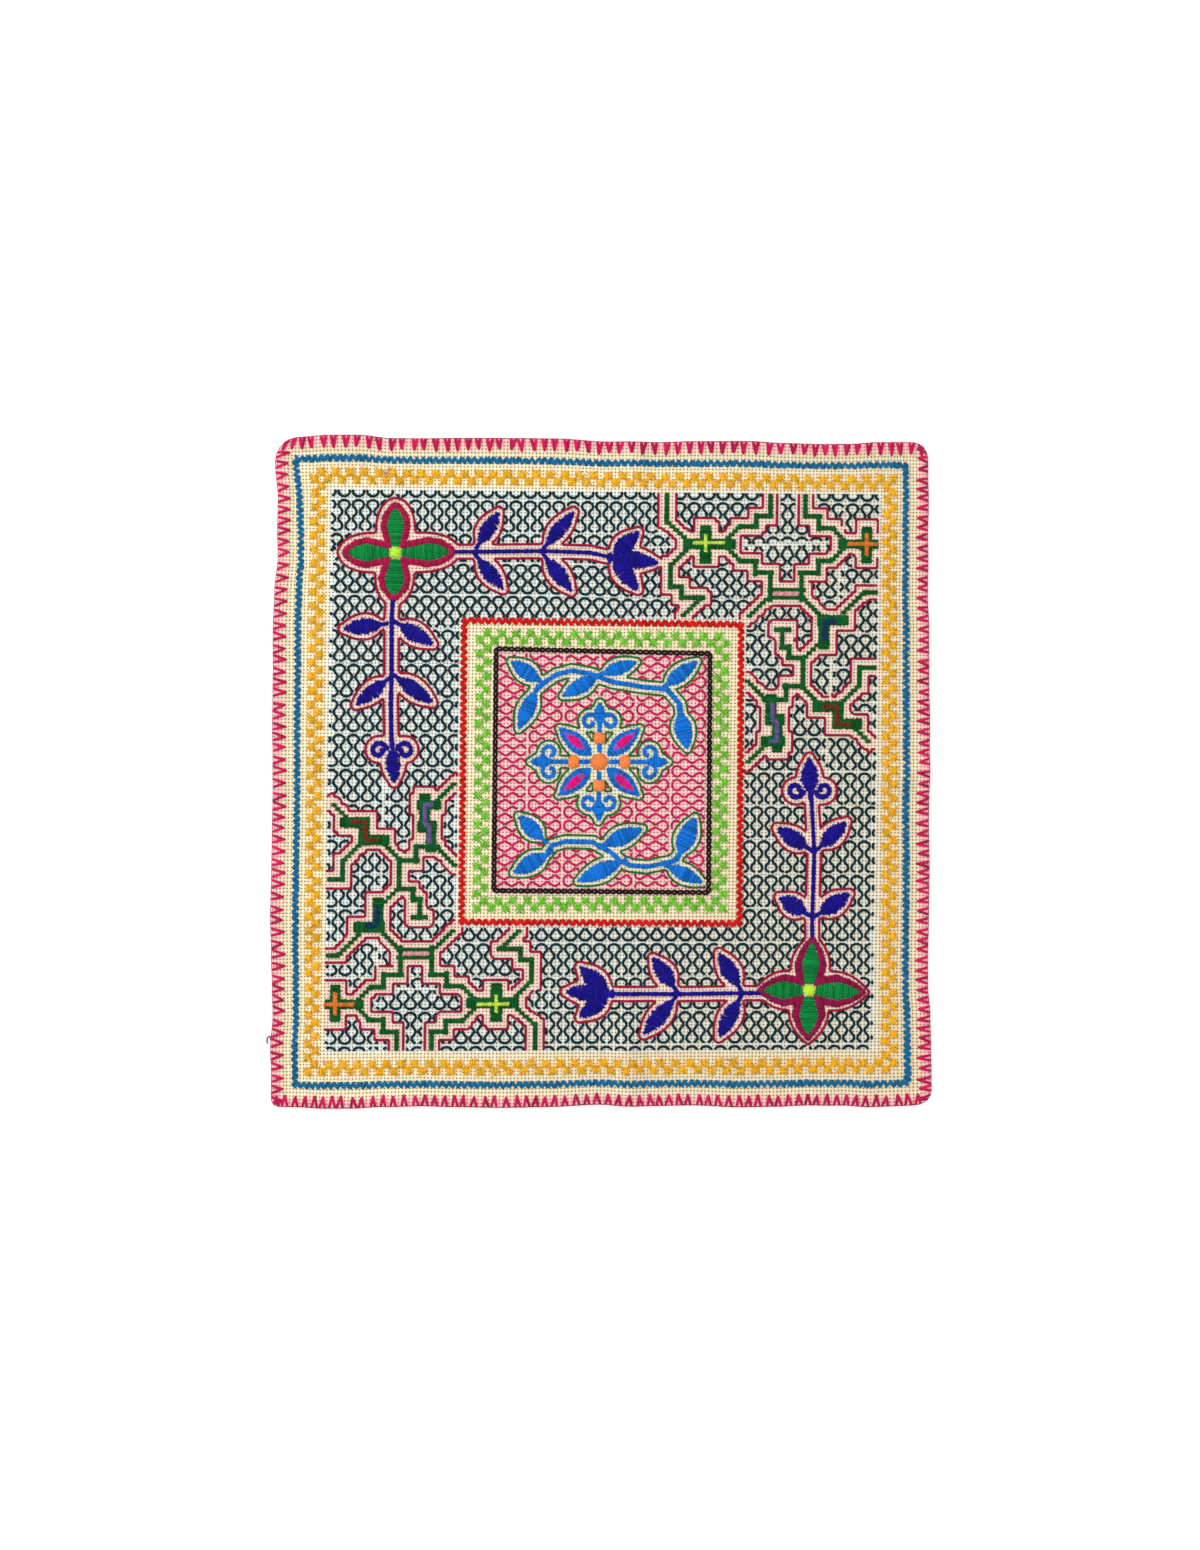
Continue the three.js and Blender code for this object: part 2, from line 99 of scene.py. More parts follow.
TOP_BOW, RIGHT_BOW, BOTTOM_BOW, LEFT_BOW = EDGE_BOW.T[1:]

# Side across, side up, and how round the corner is
CORNERS = [(-1, 1, 13), (1, 1, 8), (1, -1, 7), (-1, -1, 4)]

# Where each ridge starts and ends, its height, and how far it reaches to either side. It keeps its
# full height over the first share of its run, and dies away over the rest.
RIDGE_HELD = 0.3
RIDGES = [
    (15, -178, 15, -78, 2.6, 12),
    (176, 1, 124, 1, 2.2, 11),
    (15, 178, 15, 118, 1.6, 12),
    (-176, 1, -140, 1, 1.4, 11),
    (-150, 180, -120, 160, 2.4, 18),
    (-103, -180, -97, -156, 1.5, 15),
    (118, -180, 110, -154, 1.6, 16),
]


def smooth(t):
    held = np.clip(t, 0, 1)
    return held * held * (3 - 2 * held)


def bow(edge, along):
    rows = EDGE_BOW[:, 0]
    row = np.clip(np.searchsorted(rows, along), 1, len(rows) - 1)
    share = smooth((along - rows[row - 1]) / (rows[row] - rows[row - 1]))
    return edge[row - 1] + (edge[row] - edge[row - 1]) * share


def outward(place, field_edge, hem_edge):
    return np.clip((place - field_edge) / (hem_edge - field_edge), 0, 1.1)


def round_corners(u, v):
    u, v = u.copy(), v.copy()
    for side_u, side_v, radius in CORNERS:
        a = (u * side_u - (WIDTH / 2 - radius)) / radius
        b = (v * side_v - (LENGTH / 2 - radius)) / radius
        inside = (a > 0) & (b > 0)
        a, b = a[inside], b[inside]
        u[inside] = side_u * (WIDTH / 2 - radius + radius * a * np.sqrt(1 - b * b / 2))
        v[inside] = side_v * (LENGTH / 2 - radius + radius * b * np.sqrt(1 - a * a / 2))
    return u, v


def ridge_height(u, v):
    height = np.zeros_like(u)
    for from_u, from_v, to_u, to_v, high, reach in RIDGES:
        run_u, run_v = to_u - from_u, to_v - from_v
        along = ((u - from_u) * run_u + (v - from_v) * run_v) / (run_u**2 + run_v**2)
        held = np.clip(along, 0, 1)
        away = np.hypot(u - from_u - held * run_u, v - from_v - held * run_v) / reach
        section = np.where(away < 1, (1 - away**2) ** 2, 0)
        dying = smooth((held - RIDGE_HELD) / (1 - RIDGE_HELD))
        height = np.maximum(height, high * section * (1 - dying))
    return height


def in_from_edge(u, v):
    return np.minimum(WIDTH / 2 - np.abs(u), LENGTH / 2 - np.abs(v))


def lay_on_cloth(points, under=False):
    """Rows of u, v and the height above the cloth's upper face, or its lower one, in mm."""
    flat_u, flat_v, above = np.asarray(points, dtype=float).T
    u, v = round_corners(flat_u, flat_v)
    across, up = u / FIELD_RIGHT, v / FIELD_TOP
    right = outward(u, FIELD_RIGHT, WIDTH / 2) * bow(RIGHT_BOW, v)
    left = outward(-u, -FIELD_LEFT, WIDTH / 2) * bow(LEFT_BOW, v)
    top = outward(v, FIELD_TOP, LENGTH / 2) * bow(TOP_BOW, u)
    bottom = outward(-v, -FIELD_BOTTOM, LENGTH / 2) * bow(BOTTOM_BOW, u)
    x = u + LEAN * up + right - left
    y = v - SPREAD * across * up - TILT * across + top - bottom - MIDDLE_Y
    face = HEM_SECTION[:, 2 if under else 1]
    rise = np.interp(in_from_edge(flat_u, flat_v), HEM_SECTION[:, 0], face)
    z = ridge_height(flat_u, flat_v) + rise + above
    return np.column_stack((x, y, z)) / 1000


def linear(red, green, blue):
    """A colour's 0 to 255 values as a shader takes them."""
    shares = np.array((red, green, blue)) / 255
    return np.where(shares < 0.04045, shares / 12.92, ((shares + 0.055) / 1.055) ** 2.4)


# Where the field's and the panel's motifs stand, the same as in the solid: root, tip, half width
FLOWER_PETALS = [
    ((-109.3, 118.5), (-109.5, 137.8), 4.5),
    ((-113, 114.8), (-133.9, 114.6), 4.6),
    ((-105.5, 114.8), (-81.3, 115.5), 4.6),
    ((-109.3, 111), (-109.9, 92.8), 5.2),
    ((110.7, -110.6), (112, -89.5), 4.6),
    ((110.7, -118), (110.5, -137.5), 5.0),
    ((107, -114.3), (87.1, -114.2), 4.7),
    ((114.4, -114.3), (137, -115.4), 4.8),
]
FIELD_LEAVES = [
    ((-65.2, 120.3), (-55.5, 136.4), 3.8),
    ((-65.2, 111.4), (-52.6, 96.1), 3.7),
    ((-29.6, 120.1), (-16.2, 136.8), 3.5),
    ((-29.5, 111.7), (-16.7, 95.3), 3.8),
    ((5.4, 113.5), (17.9, 126.5), 4.3),
    ((5.4, 112.1), (18.2, 96.3), 4.3),
    ((6, 112.8), (28.3, 110.7), 4.2),
    ((-116.6, 77.2), (-136, 74.9), 4.0),
    ((-106.6, 77.2), (-89.1, 67), 3.9),
    ((-113.5, 47.8), (-128.9, 35.3), 3.4),
    ((-107, 49.2), (-88.9, 36.5), 3.8),
    ((-109.5, 12), (-108.5, -5.2), 3.8),
    ((108.2, -73.6), (94.4, -65.2), 4.2),
    ((116, -73.6), (131.1, -63.6), 4.2),
    ((108.6, -39), (92.8, -28.8), 4.0),
    ((116.2, -38), (129.1, -25.5), 4.0),
    ((109.8, -10), (109.2, 8.2), 4.2),
    ((73.4, -111.8), (63.2, -94.7), 4.0),
    ((73.6, -120), (63.7, -138.9), 4.0),
    ((39.3, -112), (28.5, -97.3), 4.0),
    ((38.9, -120), (24.3, -137.2), 4.0),
    ((4.9, -115.2), (-9.8, -101.9), 4.3),
    ((4.9, -116.6), (-9.4, -128.2), 4.3),
    ((4.3, -115.9), (-17, -114.8), 4.2),
]
PANEL_LEAVES = [
    ((-33.2, 48.4), (-47.9, 58.2), 3.9),
    ((-35.1, 42.1), (-43.5, 22.9), 3.9),
    ((-3.3, 50.2), (-20.5, 40.3), 3.9),
    ((0.6, 52.2), (17.9, 58.2), 3.4),
    ((33.8, 46.4), (49.8, 58.8), 3.7),
    ((41, 31.5), (45.2, 12.9), 4.4),
    ((-30.6, -34.4), (-43, -22.7), 3.9),
    ((-28.1, -43.1), (-45.3, -52.5), 4.2),
    ((2.5, -37.5), (22.1, -29.2), 4.2),
    ((10.5, -47), (-11.4, -56.9), 4.2),
    ((41.9, -42.2), (49.6, -23.3), 4.7),
    ((36.5, -49.3), (54, -57.6), 3.5),
]

# Stems: width, and the points that each runs through
FIELD_STEMS = [
    (1.6, [(-78.2, 115.5), (-66.1, 115.6), (-30.9, 116.2), (-7.2, 115.6), (5.4, 112.8)]),
    (1.8, [(-110.4, 90), (-110.9, 80.8), (-110.6, 51), (-110.8, 35.3), (-110, 12.8)]),
    (1.6, [(112, -87.9), (111.8, -77.3), (112.5, -41.9), (110.4, -9)]),
    (1.7, [(87.1, -115.8), (76.1, -115.8), (41.4, -116.2), (4.9, -115.9)]),
]
PANEL_STEMS = [
    (2.6, [(-35.5, 42.6), (-30.8, 46.9), (-24.6, 51.3), (-16, 53.7), (-6.5, 52.1),
           (5.4, 47.8), (22, 45.2), (34, 44.1), (41, 36.2), (41.8, 30.6)]),
    (2.6, [(-28.1, -42.3), (-25.1, -38), (-18, -36), (-3.8, -36.4), (6.5, -42.2),
           (10.5, -46.2), (16.1, -48.5), (24.7, -49.3), (38.9, -46.2), (41.9, -42.2)]),
]

# One lattice band: width, and the points of each run. The other band is this one turned half round.
LATTICE_BAND = [
    (2.3, [(32.8, 148), (32.8, 132.3), (45, 121.5)]),
    (5.6, [(44.5, 120.6), (66, 120.6)]),
    (6.2, [(53.4, 127.3), (53.4, 114)]),
    (2.3, [(64.4, 123), (71.4, 130), (79.8, 130), (79.8, 135.6), (87.2, 135.6), (87.2, 148)]),
    (2.3, [(105.6, 148), (105.6, 135.7), (112.7, 135.7), (112.7, 129.4), (119.8, 129.4),
           (126.6, 122.6)]),
    (5.0, [(125.6, 121.1), (144, 121.1)]),
    (5.8, [(138, 127.4), (138, 114.8)]),
    (2.3, [(64.4, 119), (71.6, 111.8), (79.6, 111.8), (79.6, 105.8), (87.6, 105.8), (87.6, 91.8)]),
    (2.3, [(126.6, 119.4), (119.4, 112.2), (112.9, 112.2), (112.9, 105.8), (104, 105.8),
           (104, 91.8)]),
    (1.8, [(87, 96.8), (104.8, 96.8)]),
    (1.8, [(87, 92.6), (104.8, 92.6)]),
    (2.3, [(86.4, 92.4), (76, 82)]),
    (2.3, [(105, 92.4), (113.6, 83.8)]),
    (5.8, [(126.1, 80.9), (116.1, 80.9), (116.1, 68.6)]),
    (2.3, [(125.4, 84), (137, 95.7), (144, 95.7)]),
    (2.3, [(113.6, 68.6), (105.4, 60.4), (105.4, 46), (96.6, 46)]),
    (2.3, [(96.6, 46.5), (96.6, 38.8), (86, 38.8), (75.5, 49.3)]),
    (2.3, [(105.2, 60.9), (98, 60.9), (98, 66.3), (94.3, 66.3), (94.3, 75.6)]),
    (2.3, [(91, 75.7), (97.6, 75.7)]),
    (5.8, [(88.8, 38.8), (88.8, 28.4), (92.3, 28.4), (92.3, 14.2)]),
    (5.0, [(94, 17), (86.2, 17)]),
    (2.3, [(86.6, 15.4), (76.4, 5.2)]),
    (2.3, [(104.9, 45.8), (113.9, 36.8)]),
    (5.6, [(113.3, 35.3), (124, 35.3), (124, 26.2), (133.8, 26.2)]),
    (2.3, [(126, 37.6), (135, 46.6), (135, 55.9), (144, 55.9)]),
    (2.3, [(132.8, 24.2), (141, 16)]),
    (2.3, [(45.6, 119.6), (35.2, 109.2), (35.2, 98), (41.1, 98), (41.1, 92.3), (51.9, 92.3)]),
    (2.3, [(51.5, 92.3), (41.3, 82.1)]),
]


def turned_half_round(runs):
    return [(wide, [(-u, -v) for u, v in route]) for wide, route in runs]


LATTICE = LATTICE_BAND + turned_half_round(LATTICE_BAND)


def curl(middle, radius, start, turns, count=16):
    """A small scroll that winds in from its rim, its start a share of a full turn."""
    winding = np.linspace(0, 1, count)
    angle = 2 * np.pi * (start + turns * winding)
    reach = radius * (1 - 0.62 * winding)
    return np.column_stack((middle[0] + reach * np.cos(angle), middle[1] + reach * np.sin(angle)))


FIELD_CURLS = [
    (2.1, curl((-116.8, 11.4), 4.4, 0.0, 1.1)),
    (2.1, curl((-103.0, 11.4), 4.4, 0.5, -1.1)),
    (2.1, curl((102.3, -8.7), 4.4, 0.0, -1.1)),
    (2.1, curl((116.9, -8.7), 4.4, 0.5, 1.1)),
]

# The middle ornament is a plain one, the same on both sides and both ways up: four petals about
# a crossing, a bud on each arm, and a pair of curls at the foot of each bud.
MIDDLE_U, MIDDLE_V = -1, 5.8


def mirrored_both_ways(u, v):
    return [(MIDDLE_U + side_u * u, MIDDLE_V + side_v * v) for side_u in (1, -1) for side_v in (1, -1)]


ORNAMENT_PETALS = [
    (root, tip, 4.6) for root, tip in zip(mirrored_both_ways(4.5, 3.6), mirrored_both_ways(21, 17.5))
]
ORNAMENT_BUDS = [
    ((MIDDLE_U + 27, MIDDLE_V), (MIDDLE_U + 36, MIDDLE_V), 2.6),
    ((MIDDLE_U - 27, MIDDLE_V), (MIDDLE_U - 36, MIDDLE_V), 2.6),
    ((MIDDLE_U, MIDDLE_V + 20), (MIDDLE_U, MIDDLE_V + 31), 2.8),
    ((MIDDLE_U, MIDDLE_V - 20), (MIDDLE_U, MIDDLE_V - 31), 2.8),
]
ORNAMENT_LINES = [
    (2.0, [(MIDDLE_U + 5, MIDDLE_V), (MIDDLE_U + 27, MIDDLE_V)]),
    (2.0, [(MIDDLE_U - 5, MIDDLE_V), (MIDDLE_U - 27, MIDDLE_V)]),
    (2.0, [(MIDDLE_U, MIDDLE_V + 5), (MIDDLE_U, MIDDLE_V + 20)]),
    (2.0, [(MIDDLE_U, MIDDLE_V - 5), (MIDDLE_U, MIDDLE_V - 20)]),
]
for side in (1, -1):
    for way in (1, -1):
        start = 0.0 if side < 0 else 0.5
        foot = (MIDDLE_U + side * 5.2, MIDDLE_V + way * 21)
        ORNAMENT_LINES.append((1.9, curl(foot, 4.6, start, -side * way * 1.0)))
        start = 0.75 if way > 0 else 0.25
        foot = (MIDDLE_U + side * 26, MIDDLE_V + way * 5.0)
        ORNAMENT_LINES.append((1.9, curl(foot, 4.4, start, side * way * 1.0)))


def leaf_width(t):
    """A leaf's half width as a share of its greatest, from its root at 0 to its tip at 1."""
    return np.sin(np.pi * np.clip(t, 0, 1) ** 0.85).clip(0) ** 0.8


def off_leaf(u, v, root, tip, half):
    """How far points lie outside a leaf's edge."""
    run_u, run_v = tip[0] - root[0], tip[1] - root[1]
    along = np.clip(((u - root[0]) * run_u + (v - root[1]) * run_v) / (run_u**2 + run_v**2), 0, 1)
    away = np.hypot(u - root[0] - along * run_u, v - root[1] - along * run_v)
    return away - half * leaf_width(along)


def off_line(u, v, wide, route, square=False):
    """How far points lie outside a line's edge. A lattice line keeps square corners."""
    nearest = np.full_like(u, 1e3)
    for (u0, v0), (u1, v1) in zip(route[:-1], route[1:]):
        if square and (u0 == u1 or v0 == v1):
            beyond_u = np.maximum(min(u0, u1) - u, u - max(u0, u1))
            beyond_v = np.maximum(min(v0, v1) - v, v - max(v0, v1))
            away = np.maximum(np.maximum(beyond_u, beyond_v), 0)
        else:
            run_u, run_v = u1 - u0, v1 - v0
            along = np.clip(((u - u0) * run_u + (v - v0) * run_v) / (run_u**2 + run_v**2), 0, 1)
            away = np.hypot(u - u0 - along * run_u, v - v0 - along * run_v)
        nearest = np.minimum(nearest, away)
    return nearest - wide / 2


# The outlines keep away from what they go round: beside a flower's petal, past its tip, the share
# of its length that is straight, and behind its root; then beside sprays, lattice and panel motifs
PETAL_ROOM_WIDE, PETAL_ROOM_LONG = 10.3, 5.6
PETAL_STRAIGHT, PETAL_ROOM_BEHIND = 0.4, 4
SPRAY_ROOM, LATTICE_ROOM = 2.9, 3.2
PANEL_LEAF_ROOM, PANEL_LINE_ROOM = 2.5, 2.2


def is_pointed(root):
    """The lower flower's petals come to a point, and the upper one's are round."""
    return root[0] > 0


def off_petal_room(u, v, root, tip):
    """How far points lie outside the arch that the outline makes about a flower's petal."""
    run_u, run_v = tip[0] - root[0], tip[1] - root[1]
    length = np.hypot(run_u, run_v)
    along = ((u - root[0]) * run_u + (v - root[1]) * run_v) / length
    aside = np.abs((u - root[0]) * run_v - (v - root[1]) * run_u) / length
    arch_long = (1 - PETAL_STRAIGHT) * length + PETAL_ROOM_LONG
    arch = np.clip((along - PETAL_STRAIGHT * length) / arch_long, 0, 1)
    narrowing = 1 - arch**2.1 if is_pointed(root) else np.sqrt(1 - arch**2.2)
    return np.maximum(aside - PETAL_ROOM_WIDE * narrowing, -along - PETAL_ROOM_BEHIND)


def room_by_sprays(u, v):
    rooms = [off_leaf(u, v, *leaf) - SPRAY_ROOM for leaf in FIELD_LEAVES]
    rooms += [off_petal_room(u, v, root, tip) for root, tip, half in FLOWER_PETALS]
    rooms += [off_line(u, v, *stem) - SPRAY_ROOM for stem in FIELD_STEMS + FIELD_CURLS]
    return np.minimum.reduce(rooms)


def room_by_lattice(u, v):
    rooms = [off_line(u, v, *run, square=True) - LATTICE_ROOM for run in LATTICE]
    return np.minimum.reduce(rooms)


def field_room(u, v):
    """How far points of the field lie outside the crimson outlines."""
    return np.minimum(room_by_sprays(u, v), room_by_lattice(u, v))


def panel_room(u, v):
    """How far points of the panel lie outside the green outlines."""
    leaves = PANEL_LEAVES + ORNAMENT_PETALS + ORNAMENT_BUDS
    rooms = [off_leaf(u, v, *leaf) - PANEL_LEAF_ROOM for leaf in leaves]
    rooms += [off_line(u, v, *line) - PANEL_LINE_ROOM for line in PANEL_STEMS + ORNAMENT_LINES]
    return np.minimum.reduce(rooms)


def in_field(u, v, margin=0.0):
    beside = (u > FIELD_LEFT + margin) & (u < FIELD_RIGHT - margin)
    return beside & (v > FIELD_BOTTOM + margin) & (v < FIELD_TOP - margin)


def in_square(u, v, half_u, half_v):
    return (np.abs(u) < half_u) & (np.abs(v) < half_v)


# The ground itself: a grid with a line of faces for each row of holes, and closer lines at the
# hem. Its colour varies: warmer in the borders, cooler behind the filling stitches, duller to the
# right and lower down, and pinkish where the red and pink threads have stained it.
COTTON = linear(248, 236, 202)
DULLER_COTTON = linear(234, 219, 188)
FIELD_COTTON = linear(230, 241, 241)
DULLER_FIELD_COTTON = linear(226, 228, 216)
STAINED_COTTON = linear(246, 219, 205)
HEM_COTTON = linear(255, 188, 198)
PANEL_COTTON = linear(250, 206, 208)
PANEL_MOTIF_COTTON = linear(236, 234, 204)
SPOT_BROWN = linear(150, 96, 60)
HEM_TINTED, SPOT_TINTED = 0.85, 0.8
# How the cotton turns duller towards the lower right: the slant of that change, how long it is and
# where it starts
DULLING_SLANT, DULLING_LONG, DULLING_START = 0.4, 260, 0.4
HEM_TINT_DEEP = 5.5
CHEQUER_SQUARE, PANEL_SQUARE = (73.5, 79), (57, 63)

# Where the brown spots are, and how far each reaches
BROWN_SPOTS = [(-113.9, 155.5, 2.6), (-107.5, 151.4, 1.8), (-112.5, 158.6, 1.4)]


def cotton_tint(u, v):
    def mix(tint, other, share):
        return tint + (other - tint) * share[:, None]

    # The cotton turns duller towards the lower right, in the border and in the field alike.
    dulling = smooth((u - DULLING_SLANT * v) / DULLING_LONG + DULLING_START)
    border_tint = mix(np.tile(COTTON, (len(u), 1)), DULLER_COTTON, dulling)
    inside = in_field(u, v, -1).astype(float)
    tint = mix(border_tint, FIELD_COTTON, inside)
    tint = mix(tint, DULLER_FIELD_COTTON, inside * dulling)
    near_motif = inside * smooth(-field_room(u, v) / 1.5 + 0.5)
    tint = mix(tint, STAINED_COTTON, near_motif)
    tint = mix(tint, border_tint, in_square(u, v, *CHEQUER_SQUARE).astype(float))
    in_panel = in_square(u, v, *PANEL_SQUARE).astype(float)
    tint = mix(tint, PANEL_COTTON, in_panel)
    tint = mix(tint, PANEL_MOTIF_COTTON, in_panel * smooth(-panel_room(u, v) / 1.5 + 0.5))
    near_edge = smooth(1.35 - in_from_edge(u, v) / HEM_TINT_DEEP)
    tint = mix(tint, HEM_COTTON, HEM_TINTED * near_edge)
    for spot_u, spot_v, reach in BROWN_SPOTS:
        near_spot = smooth(1.4 - np.hypot(u - spot_u, v - spot_v) / reach)
        tint = mix(tint, SPOT_BROWN, SPOT_TINTED * near_spot)
    return np.column_stack((tint, np.ones(len(u))))


def grid_places(half, count):
    """The lines of the ground's grid: close at the hem, and even inside it."""
    hem = half - HEM_SECTION[:, 0]
    inside = np.linspace(-hem[-1], hem[-1], count + 1)
    return np.concatenate((-hem[:-1], inside, hem[-2::-1]))


cells_u = round((WIDTH - 2 * HEM_SECTION[-1, 0]) / HOLE_U)
cells_v = round((LENGTH - 2 * HEM_SECTION[-1, 0]) / HOLE_V)
places_u = grid_places(WIDTH / 2, cells_u)
places_v = grid_places(LENGTH / 2, cells_v)
weave = bmesh.new()
bmesh.ops.create_grid(weave, x_segments=len(places_u) - 1, y_segments=len(places_v) - 1, size=1)
spread = np.array([vert.co[:2] for vert in weave.verts])
column = np.rint((spread[:, 0] + 1) / 2 * (len(places_u) - 1)).astype(int)
row = np.rint((spread[:, 1] + 1) / 2 * (len(places_v) - 1)).astype(int)
flat_u, flat_v = places_u[column], places_v[row]
upper = bmesh.ops.extrude_face_region(weave, geom=weave.faces[:], use_keep_orig=True)["geom"]
upper = [vert for vert in upper if isinstance(vert, bmesh.types.BMVert)]
lower = weave.verts[: len(flat_u)]
near = {(round(x, 4), round(y, 4)): i for i, (x, y) in enumerate(spread)}
level = np.zeros(len(flat_u))
lower_face = lay_on_cloth(np.column_stack((flat_u, flat_v, level)), under=True)
upper_face = lay_on_cloth(np.column_stack((flat_u, flat_v, level)))
flat_place = [near[round(vert.co.x, 4), round(vert.co.y, 4)] for vert in [*lower, *upper]]
for vert, place in zip(lower, flat_place):
    vert.co = lower_face[place]
for vert, place in zip(upper, flat_place[len(lower):]):
    vert.co = upper_face[place]
bmesh.ops.recalc_face_normals(weave, faces=weave.faces[:])
ground_mesh = bpy.data.meshes.new("cotton_ground")
weave.to_mesh(ground_mesh)
weave.free()
flat_u, flat_v = flat_u[flat_place], flat_v[flat_place]
corner = np.empty(len(ground_mesh.loops), dtype=int)
ground_mesh.loops.foreach_get("vertex_index", corner)
holes = np.column_stack((flat_u[corner] / HOLE_U, flat_v[corner] / HOLE_V))
ground_mesh.uv_layers.new(name="weave").data.foreach_set("uv", holes.ravel())
tint = ground_mesh.color_attributes.new("cotton_tint", "FLOAT_COLOR", "POINT")
tint.data.foreach_set("color", cotton_tint(flat_u, flat_v).ravel())
ground_mesh.shade_smooth()


def even_weave_cotton():
    """Cotton with a shaded hole between its threads, and slubs that make it uneven."""
    material = bpy.data.materials.new("even_weave_cotton")
    material.use_nodes = True
    nodes, links = material.node_tree.nodes, material.node_tree.links
    cloth = nodes["Principled BSDF"]
    cloth.inputs["Roughness"].default_value = 0.85
    cloth.inputs["Specular IOR Level"].default_value = 0.25
    holes = nodes.new("ShaderNodeUVMap")
    holes.uv_map = "weave"
    share = nodes.new("ShaderNodeVectorMath")
    share.operation = "FRACTION"
    from_thread = nodes.new("ShaderNodeVectorMath")
    from_thread.operation = "SUBTRACT"
    from_thread.inputs[1].default_value = (0.5, 0.5, 0)
    length = nodes.new("ShaderNodeVectorMath")
    length.operation = "LENGTH"
    hole = nodes.new("ShaderNodeMapRange")
    hole.interpolation_type = "SMOOTHSTEP"
    hole.inputs["From Min"].default_value = 0.42
    hole.inputs["From Max"].default_value = 0.6
    links.new(holes.outputs["UV"], share.inputs[0])
    links.new(share.outputs["Vector"], from_thread.inputs[0])
    links.new(from_thread.outputs["Vector"], length.inputs[0])
    links.new(length.outputs["Value"], hole.inputs["Value"])
    place = nodes.new("ShaderNodeTexCoord")
    slub = nodes.new("ShaderNodeTexNoise")
    slub.inputs["Scale"].default_value = 420
    slub.inputs["Detail"].default_value = 3
    links.new(place.outputs["Object"], slub.inputs["Vector"])
    tint = nodes.new("ShaderNodeVertexColor")
    tint.layer_name = "cotton_tint"
    shade = nodes.new("ShaderNodeMix")
    shade.data_type = "RGBA"
    shade.blend_type = "MULTIPLY"
    shade.inputs["B"].default_value = (*linear(146, 132, 108), 1)
    links.new(tint.outputs["Color"], shade.inputs["A"])
    links.new(hole.outputs["Result"], shade.inputs["Factor"])
    uneven = nodes.new("ShaderNodeMix")
    uneven.data_type = "RGBA"
    uneven.blend_type = "MULTIPLY"
    uneven.inputs["B"].default_value = (*linear(218, 210, 196), 1)
    links.new(shade.outputs["Result"], uneven.inputs["A"])
    links.new(slub.outputs["Fac"], uneven.inputs["Factor"])
    links.new(uneven.outputs["Result"], cloth.inputs["Base Color"])
    raised = nodes.new("ShaderNodeMath")
    raised.operation = "SUBTRACT"
    links.new(slub.outputs["Fac"], raised.inputs[0])
    links.new(hole.outputs["Result"], raised.inputs[1])
    bump = nodes.new("ShaderNodeBump")
    bump.inputs["Strength"].default_value = 0.5
    bump.inputs["Distance"].default_value = 0.0005
    links.new(raised.outputs["Value"], bump.inputs["Height"])
    links.new(bump.outputs["Normal"], cloth.inputs["Normal"])
    return material


ground = bpy.data.objects.new("cotton_ground", ground_mesh)
ground_mesh.materials.append(even_weave_cotton())
bpy.context.scene.collection.objects.link(ground)
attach(ground, "root")
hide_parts("embroidered_cloth")

# The hem is held by pairs of slanting stitches in hot pink cotton. Each pair rises from one hole
# in the cloth and goes over the folded edge at two places, and one thread runs along the edge.
# For each side: how deep the pairs reach, how far apart they are, half their spread at the edge,
# and the strands of each stitch
HEM_STITCHES = {
    "top": (6.4, 5.9, 1.25, (-0.35, 0.35)),
    "bottom": (5.9, 5.3, 1.5, (-0.2, 0.2)),
    "left": (7.0, 5.9, 1.9, (-0.2, 0.2)),
    "right": (6.4, 5.3, 1.6, (-0.2, 0.2)),
}


def stitch(start, end, rise, shares=(0, 0.2, 0.8, 1), heights=(0, 0.9, 0.9, 0)):
    """One straight stitch between two holes, as rows of u, v and height above the cloth."""
    shares = np.array(shares)[:, None]
    line = np.array(start) + (np.array(end) - np.array(start)) * shares
    return np.column_stack((line, np.array(heights) * rise))


